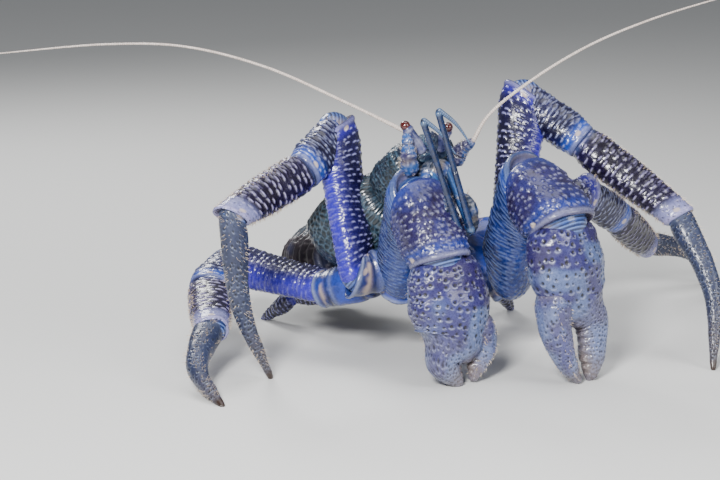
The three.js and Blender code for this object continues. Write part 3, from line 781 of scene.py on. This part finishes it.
def wrist_relief(on):
    body_part = between(on, 9, 3)
    ridge, crest = dashes(on, pitch=4.2, columns=28, half=1.6, lift=0.95, seed=77, sweep=0.09)
    # The pit mark darkens the pits with painted shade.
    dot, pit_shade, _ = pits(on, pitch=4.4, columns=25, radius=0.7, depth=0.4, seed=77)
    # The pale of the raised rim is partly a painted highlight.
    rim, knob = rimmed(on, 1.8)
    head = 1 - smooth(on.u, 6, 15)
    lumps = on.lumps(13, 78, 1.5)
    height = body_part * (ridge + 0.5 * dot) + 1.0 * rim + lumps
    bright = 0.5 * head + 0.7 * bell(on.left - 7, 3.5) + 0.2 * on.clouds(11, 79, 0.5, 0.7)
    pale = 0.5 * body_part * crest + 0.4 * rim
    return height, pale, 0.75 * body_part * pit_shade, bright, 0.7 * knob + 0.2 * on.inside


def palm_relief(biting, split, seed):
    def relief(on):
        body_part = smooth(on.u, 5, 11)
        fingers = smooth(on.share, split - 0.04, split + 0.12)
        # The pit marks darken the pits of the palm and fingers with painted shade.
        dot, pit_shade, lip = pits(on, pitch=5.4, columns=25, radius=1.2, depth=0.6, seed=seed)
        fine, fine_pit_shade, fine_lip = pits(on, pitch=3.2, columns=24, radius=0.85, depth=0.4,
                                        seed=seed + 3)
        knurl, specks = dashes(
            on, pitch=3.0, columns=30, half=1.3, lift=0.5, seed=seed + 6, sweep=0.1, jitter=0.8
        )
        edge = on.face(biting, 30) * fingers * smooth(on.left, 2, 8)
        cusp = edge * (0.4 + np.abs(np.sin(on.u * math.pi / 6.5))) * 2.0
        ridge = on.face(biting + 180, 26) * (1 - fingers)
        lumps = on.lumps(16, seed + 8, 1.8) + on.lumps(6, seed + 9, 0.8)
        height = body_part * ((1 - fingers) * dot + fingers * fine + ridge * knurl) + lumps + cusp
        dark = body_part * ((1 - fingers) * pit_shade + 0.8 * fingers * fine_pit_shade)
        tip = 1 - smooth(on.left, 4, 26)
        lips = 0.55 * lip * (1 - fingers) + 0.5 * fine_lip * fingers
        pale = body_part * (lips + 0.8 * ridge * specks)
        outward = 0.35 * smooth(on.share, 0.2, split)
        bright = smooth(drift(on.place, 15, seed + 10) + outward, 0.55, 0.85)
        cream = 0.75 * edge + 0.7 * tip
        return height, pale + 0.1 * fingers, dark, 0.75 * bright, cream
    return relief


def finger_relief(biting, seed):
    def relief(on):
        body_part = smooth(on.u, 4, 9)
        # The pit mark darkens the pits with painted shade.
        dot, pit_shade, lip = pits(on, pitch=3.8, columns=15, radius=0.75, depth=0.45, seed=seed)
        edge = on.face(biting, 30) * smooth(on.u, 8, 16) * smooth(on.left, 2, 8)
        cusp = edge * (0.4 + np.abs(np.sin(on.u * math.pi / 5.5))) * 1.8
        tip = 1 - smooth(on.left, 3, 22)
        lumps = on.lumps(9, seed + 2, 1.2)
        bright = 0.7 * on.clouds(10, seed + 3, 0.4, 0.7)
        seam = bell(on.u - 5, 4)
        height = body_part * dot + lumps + cusp
        cream = 0.75 * edge + 0.7 * tip + 0.6 * seam
        return height, 0.5 * body_part * lip + 0.1, 0.9 * body_part * pit_shade, bright, cream
    return relief


ARM_OVERLAP = 5
ARM_MITER = 18
PALM_SEED = 81
FINGER_SEED = 101
claw_parts = {}
for name, arm in ARMS.items():
    bones = arm["bones"]
    points = joints(arm["hip"], bones)
    side = hinge(bones, 1, 3)
    wrist, tip = points[3], points[4]
    kinds = (("base", base_shell, arm_base_relief), ("merus", arm_shell, arm_merus_relief),
             ("carpus", wrist_shell, wrist_relief))
    for number, (kind, finish, relief) in enumerate(kinds):
        limb = Limb(
            overlapped(points[number], points[number + 1], ARM_OVERLAP if number else 0, ARM_OVERLAP),
            side,
            scaled(ARM_SECTIONS[kind], arm["size"] if number else 1), ends=(0.16, 0.14),
            miter=miters(bones, number, side, ARM_MITER) if number else (0, 0),
        )
        clad(f"{name}_{kind}_shell", limb, relief, finish,
             [f"{name}_{kind}"], lip=RIM)
        knuckle(f"{name}_{kind}_joint", limb, points[number + 1], points[number + 2], side)
    reach = tip - wrist
    inward = unit(side - reach * np.dot(side, reach) / np.dot(reach, reach)) * arm["inner"]
    wide, thick = arm["palm"]
    split = arm["finger"]
    palm = Limb(
        [wrist + reach * share + inward * off for share, off in (
            (-0.06, 0), (split * 0.55, 0), (split, -5), (split + 0.18, -15), (0.88, -11), (1, -4))],
        side,
        [
            [0, wide * 0.55, thick * 0.6], [split * 0.3, wide * 0.9, thick * 0.9],
            [split * 0.65, wide, thick], [split, wide * 0.82, thick * 0.85], [split + 0.14, 11, 12],
            [0.85, 8, 8.5], [0.96, 4.2, 4.5], [1, 2, 2],
        ],
        ends=(0.1, 0.03),
    )
    finger = Limb(
        [wrist + reach * share + inward * off for share, off in (
            (split - 0.12, 15), (split + 0.12, 20), (0.86, 13), (0.985, 4.5))],
        side,
        [[0, 8, 10], [0.2, 10.5, 12.5], [0.5, 8.5, 10], [0.8, 5.5, 6.5], [0.95, 3, 3.4], [1, 1.8, 1.8]],
        ends=(0.12, 0.03),
    )
    biting = 180 if arm["inner"] > 0 else 0
    clad(f"{name}_palm_shell", palm, palm_relief(180 - biting, split, PALM_SEED), palm_shell,
         [f"{name}_palm"])
    clad(f"{name}_finger_shell", finger, finger_relief(biting, FINGER_SEED), palm_shell,
         [f"{name}_finger"])
    claw_parts[name] = (palm, finger)

# Walking legs: two pairs, each a base, three ridged segments and a long bristled claw. Dark indigo with
# pale dashes across, a saturated violet inner side, and smooth whitish-blue knuckles.
LEG_SECTIONS = {
    "base": [[0, 12, 12], [0.5, 13, 15], [1, 11, 13]],
    "merus": [[0, 9, 12], [0.2, 10, 14], [0.55, 10.5, 15], [0.86, 12, 17], [1, 11, 14]],
    "carpus": [[0, 8, 10], [0.3, 10.5, 13], [0.7, 11.5, 14.5], [1, 10, 12]],
    "propodus": [[0, 8, 10], [0.2, 10.5, 13.5], [0.6, 10, 13], [0.9, 9, 11], [1, 8.5, 10]],
    "dactyl": [
        [0, 7, 8], [0.12, 8, 9.5], [0.45, 6.5, 7], [0.75, 4.3, 4.6], [0.94, 2.4, 2.4], [1, 1.6, 1.6],
    ],
}
LEGS = {
    "leg2_right": {
        "hip": (-80, -18, -54), "size": 1,
        "bones": [[29, -154, -8], [102, 110, 64], [43, -122, -29], [76, -128, -15], [118, 32]],
    },
    "leg2_left": {
        "hip": (-80, 18, -54), "size": 1,
        "bones": [[55, 21, 16], [96, 76, 63], [50, -26, -32], [86, -22, -34], [115, -72]],
    },
    "leg3_right": {
        "hip": (-102, -22, -52), "size": 1.08,
        "bones": [[43, 150, -16], [82, 150, 6], [48, -104, -9], [63, -85, -12], [88, -81]],
    },
    "leg3_left": {
        "hip": (-102, 22, -52), "size": 0.94,
        "bones": [[52, 32, -6], [94, 34, 27], [48, 50, -28], [72, 60, -28], [82, 30]],
    },
}
merus_shell = shell("leg_merus_shell", (11, 8, 36), (20, 15, 62), (48, 37, 162), (148, 148, 203),
                    (3, 2, 10), gloss=0.2)
carpus_shell = shell("leg_carpus_shell", (13, 10, 38), (21, 20, 64), (34, 69, 162), (151, 158, 200),
                     (3, 2, 10), gloss=0.2)
propodus_shell = shell("leg_propodus_shell", (14, 6, 25), (22, 15, 48), (72, 87, 137), (158, 151, 196),
                       (2, 2, 6), gloss=0.2)
dactyl_shell = shell("leg_dactyl_shell", (36, 42, 67), (50, 57, 83), (69, 62, 67), (129, 139, 163),
                     (5, 5, 11), cream=(46, 32, 26), gloss=0.3, coat=0.2)


def leg_base_relief(on):
    # The pale of the raised rim is partly a painted highlight.
    rim, knob = rimmed(on)
    tan = 0.8 * bell(on.left - 8, 1.8) * on.clouds(5, 111, 0.3, 0.65)
    # Folds sunk into the shell, also darkened with painted shade.
    fold = bell(on.left - 12, 1.8) + bell(on.u - 9, 1.8)
    height = on.lumps(9, 112, 1.4) + 0.8 * rim - 0.6 * fold
    bright = on.clouds(12, 113, 0.3, 0.7)
    return height, 0.6 * rim + 0.3 * bell(on.left - 16, 2), 0.5 * fold, bright, tan + 0.7 * knob


def leg_merus_relief(on):
    body_part = between(on, 9, 3.5)
    inner = on.face(-90, 48)
    fine, crest = dashes(on, pitch=4.6, columns=15, half=2.2, lift=0.7, seed=113)
    scales, edges = dashes(on, pitch=3.7, columns=8, half=5.2, lift=0.9, seed=116, sweep=0.03)
    # The pale of the raised rim is partly a painted highlight.
    rim, knob = rimmed(on, 1.8)
    lumps = on.lumps(12, 119, 1.0)
    height = body_part * ((1 - inner) * fine + inner * scales) + lumps + 0.9 * rim
    pale = body_part * ((1 - inner) * crest + 0.35 * inner * edges) + 0.45 * rim
    head = 1 - smooth(on.u, 6, 15)
    bright = 1.1 * inner + head + 0.5 * bell(on.left - 6, 4)
    return height, pale, 0, bright, 0.7 * knob + 0.2 * on.inside


def leg_carpus_relief(on):
    body_part = between(on, 7, 3.5)
    outer = on.face(90, 75)
    rows, crests = dashes(on, pitch=3.1, columns=9, half=4.6, lift=0.95, seed=121, sweep=0.05)
    fine, crest = dashes(on, pitch=4.4, columns=15, half=2.0, lift=0.6, seed=124)
    # The pale of the raised rim is partly a painted highlight.
    rim, knob = rimmed(on, 1.6)
    height = body_part * (outer * rows + (1 - outer) * fine) + 0.8 * rim + on.lumps(10, 127, 0.9)
    pale = body_part * (0.85 * outer * crests + (1 - outer) * crest) + 0.4 * rim
    bright = 0.9 * bell(on.left - 6, 4.5) + 1 - smooth(on.u, 5, 12)
    return height, pale, 0, bright, 0.7 * knob + 0.2 * on.inside


def propodus_relief(on):
    far_end = 1 - smooth(on.left, 7, 17)
    body_part = between(on, 7, 3) * (1 - far_end)
    outer = on.face(90, 50)
    rows, crests = dashes(on, pitch=3.3, columns=10, half=3.4, lift=0.9, seed=131, sweep=0.06)
    fine, crest = dashes(on, pitch=5.4, columns=12, half=2.6, lift=0.7, seed=134, sweep=0.02)
    # The pit mark darkens the pits at the far end with painted shade.
    dot, pit_shade, _ = pits(on, pitch=3.6, columns=16, radius=0.7, depth=0.4, seed=137)
    # The pale of the raised rim is partly a painted highlight.
    rim, knob = rimmed(on, 1.5)
    height = body_part * (outer * rows + (1 - outer) * fine) + far_end * dot + 0.6 * rim
    pale = body_part * (0.8 * outer * crests + (1 - outer) * crest) + 0.45 * far_end + 0.4 * rim
    head = 1 - smooth(on.u, 5, 13)
    height = height + on.lumps(9, 138, 0.8)
    return height, pale, 0.7 * far_end * pit_shade, far_end + 0.8 * head, 0.6 * knob + 0.2 * on.inside


def dactyl_relief(on):
    body_part = smooth(on.u, 4, 9) * smooth(on.left, 3, 10)
    # The pit mark darkens the pits with painted shade.
    dot, pit_shade, lip = pits(on, pitch=3.4, columns=13, radius=0.7, depth=0.45, seed=141)
    nail = 1 - smooth(on.left, 5, 9)
    brown = smooth(on.share, 0.55, 0.95)
    height = body_part * dot + on.lumps(7, 144, 0.7) * (1 - nail)
    pale = 0.6 * body_part * lip + 0.3 * (1 - smooth(on.u, 3, 12))
    return height, pale, 0.85 * body_part * pit_shade, 0.85 * brown, nail


LEG_OVERLAP = 4
LEG_MITER = 12
DACTYL_BOW = 12
leg_parts = {}
LEG_LOOKS = {
    "base": (base_shell, leg_base_relief), "merus": (merus_shell, leg_merus_relief),
    "carpus": (carpus_shell, leg_carpus_relief), "propodus": (propodus_shell, propodus_relief),
    "dactyl": (dactyl_shell, dactyl_relief),
}
for name, leg in LEGS.items():
    size = leg["size"]
    bones = leg["bones"]
    points = joints(leg["hip"], bones)
    side = hinge(bones, 1, 3)
    for number, (kind, (finish, relief)) in enumerate(LEG_LOOKS.items()):
        start, stop = points[number], points[number + 1]
        before = LEG_OVERLAP if number else 0
        path = overlapped(start, stop, before, 0 if kind == "dactyl" else LEG_OVERLAP)
        if kind == "dactyl":
            out = unit(np.cross(stop - start, side))
            path.insert(1, (start + stop) / 2 + out * DACTYL_BOW * size)
        miter = miters(bones, number, side, LEG_MITER)
        if number == 0:
            miter[0] = 0
        limb = Limb(path, side, scaled(LEG_SECTIONS[kind], size),
                    ends=(0.07, 0.02) if kind == "dactyl" else (0.1, 0.08), miter=miter)
        clad(f"{name}_{kind}_shell", limb, relief, finish,
             [f"{name}_{kind}"], lip=() if kind == "dactyl" else RIM)
        if kind != "dactyl":
            knuckle(f"{name}_{kind}_joint", limb, stop, points[number + 2], side)
        leg_parts[name, kind] = limb

# Small last legs: thin, of three segments each, hinged behind the walking legs. They end in a little
# pincer, which the animal holds close beside its abdomen.
SMALL_LEGS = {
    "leg4_right": ((-119, -20, -46), [[64, 124, -22], [25, 145, -4], [42, 140]]),
    "leg4_left": ((-119, 20, -46), [[70, 53, -18], [25, 45, -4], [42, 57]]),
}
SMALL_SECTIONS = {
    "arm": [[0, 6, 7], [0.5, 6, 7.5], [1, 5.5, 7]],
    "carpus": [[0, 4.5, 5], [0.5, 5.5, 6.5], [1, 5, 6]],
    "chela": [[0, 4.5, 5], [0.35, 6, 7.5], [0.7, 4, 4.5], [1, 1.8, 1.8]],
}


def small_relief(on):
    """Short dashes, and on the two long segments a groove down each side, as between two fingers."""
    ridge, crest = dashes(on, pitch=3.6, columns=11, half=1.8, lift=0.5, seed=151)
    body_part = between(on, 4, 3)
    long_segment = on.u[-1] > 35
    # The grooves are also darkened with painted shade.
    gape = (on.face(0, 9) + on.face(180, 9)) * smooth(on.share, 0.5, 0.62) * long_segment
    return body_part * ridge - 0.7 * gape, body_part * crest, 0.7 * gape, 1 - body_part, 0


for name, (hip, bones) in SMALL_LEGS.items():
    points = joints(hip, bones)
    side = hinge(bones, 0, 2)
    for number, (kind, stations) in enumerate(SMALL_SECTIONS.items()):
        limb = Limb([points[number], points[number + 1]], side, stations, ends=(0.12, 0.06))
        clad(f"{name}_{kind}_shell", limb, small_relief, merus_shell, [f"{name}_{kind}"])

# Mouth: a ridged horny plate under the rostrum, and in front of it the two outer jaw legs, jointed
# twice and folded up. They are dark blue, with brownish skin at the joints.
mouth_shell = shell("mouth_shell", (15, 27, 46), (27, 42, 67), (34, 66, 131), (144, 143, 148),
                    (6, 5, 8), cream=(124, 112, 102), gloss=0.22, blotch=80.0)


def jaw_relief(on):
    joint = bell(on.share - 0.34, 0.03) + bell(on.share - 0.66, 0.03)
    ridge, crest = dashes(on, pitch=3.0, columns=10, half=1.6, lift=0.4, seed=161)
    return ridge - 1.1 * joint, 0.5 * crest, 0.3 * joint, on.clouds(6, 162, 0.4, 0.7), 0.5 * joint


def mouth_relief(on):
    upright = on.face(90, 7) + on.face(60, 5) + on.face(120, 5)
    # Grooves sunk into the plate, also darkened with painted shade.
    groove = upright + bell(on.u - 12, 1.2) + bell(on.u - 24, 1.2)
    ridge, crest = dashes(on, pitch=2.6, columns=26, half=1.4, lift=0.4, seed=165)
    tan = 0.5 * on.clouds(5, 164, 0.6, 0.8)
    height = on.lumps(6, 163, 1.2) - 0.9 * groove + ridge
    return height, 0.5 * crest, 0.6 * groove, on.clouds(7, 166, 0.4, 0.7), tan


jaws = {}
for flank, mirror in (("right", -1), ("left", 1)):
    jaws[flank] = Limb(
        [body(-36, mirror * 9, -50), body(-24, mirror * 11, -60), body(-8, mirror * 10, -56),
         body(-4, mirror * 7, -44)],
        LEFT, [[0, 6, 6], [0.4, 5.5, 6.5], [0.8, 4, 4.5], [1, 2.5, 2.5]], ends=(0.1, 0.08),
    )
    clad(f"jaw_leg_{flank}", jaws[flank], jaw_relief, mouth_shell,
         [f"maxilliped_{flank}"], step=0.7)
mouth = Limb([body(-9, 0, -14), body(-20, 0, -30), body(-32, 0, -46)], LEFT,
             [[0, 12, 7], [0.5, 15, 9], [1, 9, 6]], ends=(0.15, 0.15))
clad("mouth_plate", mouth, mouth_relief, mouth_shell, ["mouth"], step=0.8)

# Antennae: a knobbly jointed stalk on each side of the head, and on it a long thin whip of fine horny
# rings, whitish tan, which springs out and up to the side.
WHIPS = {
    "right": [
        [-32, -84, 162], [-74, -80, 182], [-127, -76, 205],
        [-180, -72, 218], [-230, -66, 219], [-315, -58, 211],
    ],
    "left": [
        [10, -78, 155], [20, -76, 172], [45, -74, 193],
        [84, -70, 217], [127, -66, 235], [191, -60, 254],
    ],
}
whip_shell = shell("whip_shell", (176, 160, 148), (198, 186, 176), (150, 120, 110), (226, 220, 214),
                   (96, 78, 70), gloss=0.35, coat=0.1, blotch=120.0)
stalk_shell = shell("stalk_shell", (45, 41, 76), (64, 63, 99), (41, 75, 133), (163, 162, 182),
                    (10, 8, 18), cream=(124, 112, 108), gloss=0.22, blotch=120.0)


def whip_relief(on):
    ring = np.abs((on.u / 1.5) % 1 - 0.5) * 2
    return 0.12 * ring, 0.5 * ring, 0.35 * (1 - ring) ** 2, 0.2, 0


def stalk_relief(on):
    joint = bell(on.share - 0.38, 0.035) + bell(on.share - 0.7, 0.03)
    ridge, crest = dashes(on, pitch=3.0, columns=9, half=1.5, lift=0.5, seed=171)
    height = ridge - 0.9 * joint + on.lumps(6, 172, 0.8)
    bright = on.clouds(7, 173, 0.35, 0.65)
    return height, 0.5 * crest, 0.5 * joint, bright, 0.25 * joint


stalks = {}
for flank, whip in WHIPS.items():
    mirror = 1 if flank == "left" else -1
    path = np.array(whip, float)
    lash = Limb(path, UP, [[0, 1.5, 1.5], [0.1, 1, 1], [0.6, 0.7, 0.7], [1, 0.35, 0.35]],
                ends=(0.01, 0.01), power=2)
    stalks[flank] = Limb(
        [body(-16, mirror * 17, -16), body(-6, mirror * 20, -12), path[0] * 0.96 + path[1] * 0.04], UP,
        [[0, 6, 6], [0.35, 5.5, 5.5], [0.7, 4, 4], [1, 2.6, 2.6]], ends=(0.14, 0.08),
    )
    clad(f"whip_{flank}", lash, whip_relief, whip_shell, [f"antenna_{flank}"], step=0.5)
    clad(f"whip_stalk_{flank}", stalks[flank], stalk_relief, stalk_shell,
         [f"antenna_stalk_{flank}"], step=0.6)

# Eyes: glossy dark red balls, each set on a short smooth purple-grey stalk that is hinged under the
# side of the rostrum.
EYES = {"right": [-34.8, -84, 167], "left": [-6.6, -84, 166]}
eye_glass = shell("eye_glass", (58, 5, 5), (86, 12, 9), (40, 4, 5), (120, 40, 32),
                  (30, 4, 6), gloss=0.02, coat=1.0, grain=0.04, blotch=260.0)


def eye_relief(on):
    return 0 * on.turn, 0, 0.35 * on.face(90, 40), 0.3, 0


def eye_stalk_relief(on):
    cuff = bell(on.left - 3.6, 0.9)
    lump = drift(on.place, 4, 181)
    return 0.5 * lump + 0.5 * cuff, 0.4 * cuff + 0.3 * smooth(lump, 0.5, 0.8), 0, 0.2, 0


for flank, centre in EYES.items():
    mirror = 1 if flank == "left" else -1
    seat = body(-9, mirror * 6, -7)
    centre = np.array(centre, float)
    out = unit(centre - seat)
    ball = Limb([centre - out * 3.4, centre + out * 3.4], UP, [[0, 3.4, 3.4], [1, 3.4, 3.4]],
                ends=(0.49, 0.49), power=2)
    stalk = Limb(
        [seat, centre], UP, [[0, 4.2, 4.2], [0.5, 3.6, 3.6], [1, 3.3, 3.3]], ends=(0.1, 0.1),
        power=2
    )
    clad(f"eye_ball_{flank}", ball, eye_relief, eye_glass, [f"eye_{flank}"], step=0.35)
    clad(
        f"eye_stem_{flank}", stalk, eye_stalk_relief, stalk_shell,
        [f"eye_stalk_{flank}"], step=0.5
    )

# Antennules: the two jointed smelling sticks between the antennae, of shining steel-blue horn. Each is
# hinged under the rostrum and bent back at the top into a short ringed lash.
steel = shell("antennule_shell", (8, 22, 52), (16, 38, 78), (36, 76, 128), (118, 150, 186),
              (2, 4, 11), gloss=0.14, coat=0.6, blotch=150.0, grain=0.1)


def stick_relief(on):
    collar = bell(on.left - 3, 1.3) + bell(on.u - 3, 1.6)
    # The bright mark is a painted highlight along one side of each stick.
    return 0.35 * collar, 0.35 * collar, 0.5 * bell(on.left - 0.8, 0.8), on.face(90, 50), 0


for flank, mirror in (("right", -1), ("left", 1)):
    seat = body(-10, mirror * 6, -20)
    knee = np.array([4.8 + mirror * 4, -112.8, 100])
    top = np.array([-24.6, -118, 177] if flank == "right" else [-14.8, -116, 183])
    lower = Limb([seat, knee], LEFT, [[0, 3, 3], [0.5, 2.4, 2.4], [1, 2.4, 2.4]], power=2)
    upper = Limb([knee, top], LEFT, [[0, 2.4, 2.4], [0.5, 2, 2], [1, 2.2, 2.2]], power=2)
    lash = Limb(
        [top, top + (12, 2, -10), top + (22, 4, -24)], LEFT, [[0, 1.6, 1.6], [1, 0.5, 0.5]], power=2
    )
    clad(f"smeller_{flank}_lower", lower, stick_relief, steel, step=0.5)
    clad(
        f"smeller_{flank}_upper", upper, stick_relief, steel, [f"antennule_{flank}"],
        step=0.5
    )
    clad(f"smeller_{flank}_lash", lash, whip_relief, steel, step=0.4)

# Bristles: stiff pale horny hairs that stand out in rows along the leg claws, and shorter ones on the
# pincers, the jaw legs and the antenna stalks. Each is a thin bent spike with its root in the shell.
hair = shell("bristle_horn", (188, 178, 164), (150, 132, 112), (214, 208, 200), (230, 226, 220),
             (60, 44, 34), gloss=0.4, coat=0.05, grain=0.05, blotch=300.0)
PATCH = 0.0015
ROOT_DEPTH = 0.6
KNEE = 0.45
KNEE_WIDTH = 0.75
KNEE_BEND = 0.35
ANGLE_SPREAD = 9
SWAY = 0.16


def bristles(name, beds, seed):
    """Spikes on limbs. A bed is a limb, a count, a range of its length, angles round it, and the
    length, lean and thickness of its spikes."""
    draws = np.random.default_rng(seed)
    points, faces, patches = [], [], []
    for bed_number, (limb, count, shares, angles, length, lean, thick) in enumerate(beds):
        share = draws.uniform(*shares, count)
        face = np.array(angles)[draws.integers(0, len(angles), count)]
        angle = np.radians(face + draws.normal(0, ANGLE_SPREAD, count))
        ones = np.ones(count)
        here = limb.surface(share, ones, angle[:, None])[:, 0]
        ahead = limb.surface(np.minimum(share + 0.01, 1), ones, angle[:, None])[:, 0] - here
        sideways = limb.surface(share, ones, angle[:, None] + 0.05)[:, 0] - here
        out = np.cross(sideways, ahead)
        out /= np.linalg.norm(out, axis=1, keepdims=True)
        along = limb.along(share)
        along -= out * (along * out).sum(axis=1, keepdims=True)
        along /= np.linalg.norm(along, axis=1, keepdims=True)
        side_line = np.cross(out, along)
        tall = length * draws.uniform(0.6, 1.2, count)[:, None]
        tilt = lean * draws.uniform(0.6, 1.4, count)[:, None]
        sway = draws.normal(0, SWAY, count)[:, None]
        for number in range(count):
            first = len(points)
            knee = (KNEE * tall[number, 0], tilt[number, 0] * KNEE_BEND * tall[number, 0], KNEE_WIDTH)
            for rise, bend, narrow in ((-ROOT_DEPTH, 0, 1), knee):
                middle = here[number] + out[number] * rise + along[number] * bend
                for corner in range(3):
                    way = 2 * math.pi * corner / 3
                    across = side_line[number] * math.cos(way) + along[number] * math.sin(way)
                    points.append(middle + across * thick * narrow)
            swing = along[number] * tilt[number, 0] + side_line[number] * sway[number, 0]
            points.append(here[number] + (out[number] + swing) * tall[number, 0])
            for corner in range(3):
                after = (corner + 1) % 3
                faces.append((first + corner, first + after, first + 3 + after, first + 3 + corner))
                faces.append((first + 3 + corner, first + 3 + after, first + 6))
            faces.append((first + 2, first + 1, first))
            column = (bed_number % 8 + share[number]) / 8.2 + 0.01
            level = (bed_number // 8 + (angle[number] / (2 * math.pi)) % 1) / 4.2 + 0.01
            for corner in (0, 1, 2, 0, 1, 2):
                way = 2 * math.pi * corner / 3
                patches.append((column + PATCH * math.cos(way), level + PATCH * math.sin(way)))
            patches.append((column, level))
    mesh = bpy.data.meshes.new(name)
    places = (np.array(points) + ORIGIN) * MM
    places[:, 2] = np.maximum(places[:, 2], 0)
    mesh.from_pydata(places, [], faces)
    unwrap = mesh.uv_layers.new(name="OFBake")
    corners = np.empty(len(mesh.loops), np.int32)
    mesh.loops.foreach_get("vertex_index", corners)
    unwrap.data.foreach_set("uv", np.array(patches, np.float32)[corners].ravel())
    mesh.materials.append(hair)
    piece = bpy.data.objects.new(name, mesh)
    bpy.context.collection.objects.link(piece)
    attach(piece, "root")


for name in LEGS:
    claw = leg_parts[name, "dactyl"]
    shank = leg_parts[name, "propodus"]
    bristles(f"{name}_bristles", [
        (claw, 240, (0.06, 0.9), (-165, -15, 15, 90, 165), 3.4, 0.3, 0.14),
        (claw, 90, (0.03, 0.5), (0, 60, 120, 180, -90), 2.0, 0.5, 0.15),
        (shank, 220, (0.15, 0.97), (90, 60, 120), 2.0, 0.8, 0.2),
        (shank, 120, (0.3, 0.97), (-90,), 2.6, 0.6, 0.2),
    ], 7)
for name, (palm, finger) in claw_parts.items():
    bristles(f"{name}_bristles", [
        (palm, 160, (0.2, 0.95), (-60, -120), 1.9, 0.6, 0.2),
        (finger, 140, (0.15, 0.92), (-45, -135, 60, 120), 1.8, 0.5, 0.2),
    ], 11)
for flank in ("right", "left"):
    bristles(f"face_bristles_{flank}", [
        (jaws[flank], 220, (0.1, 0.98), (0, 180, 60, 120), 4.2, 0.7, 0.14),
        (stalks[flank], 70, (0.1, 0.7), (60, 120, 0, 180), 2.6, 0.7, 0.12),
    ], 13)
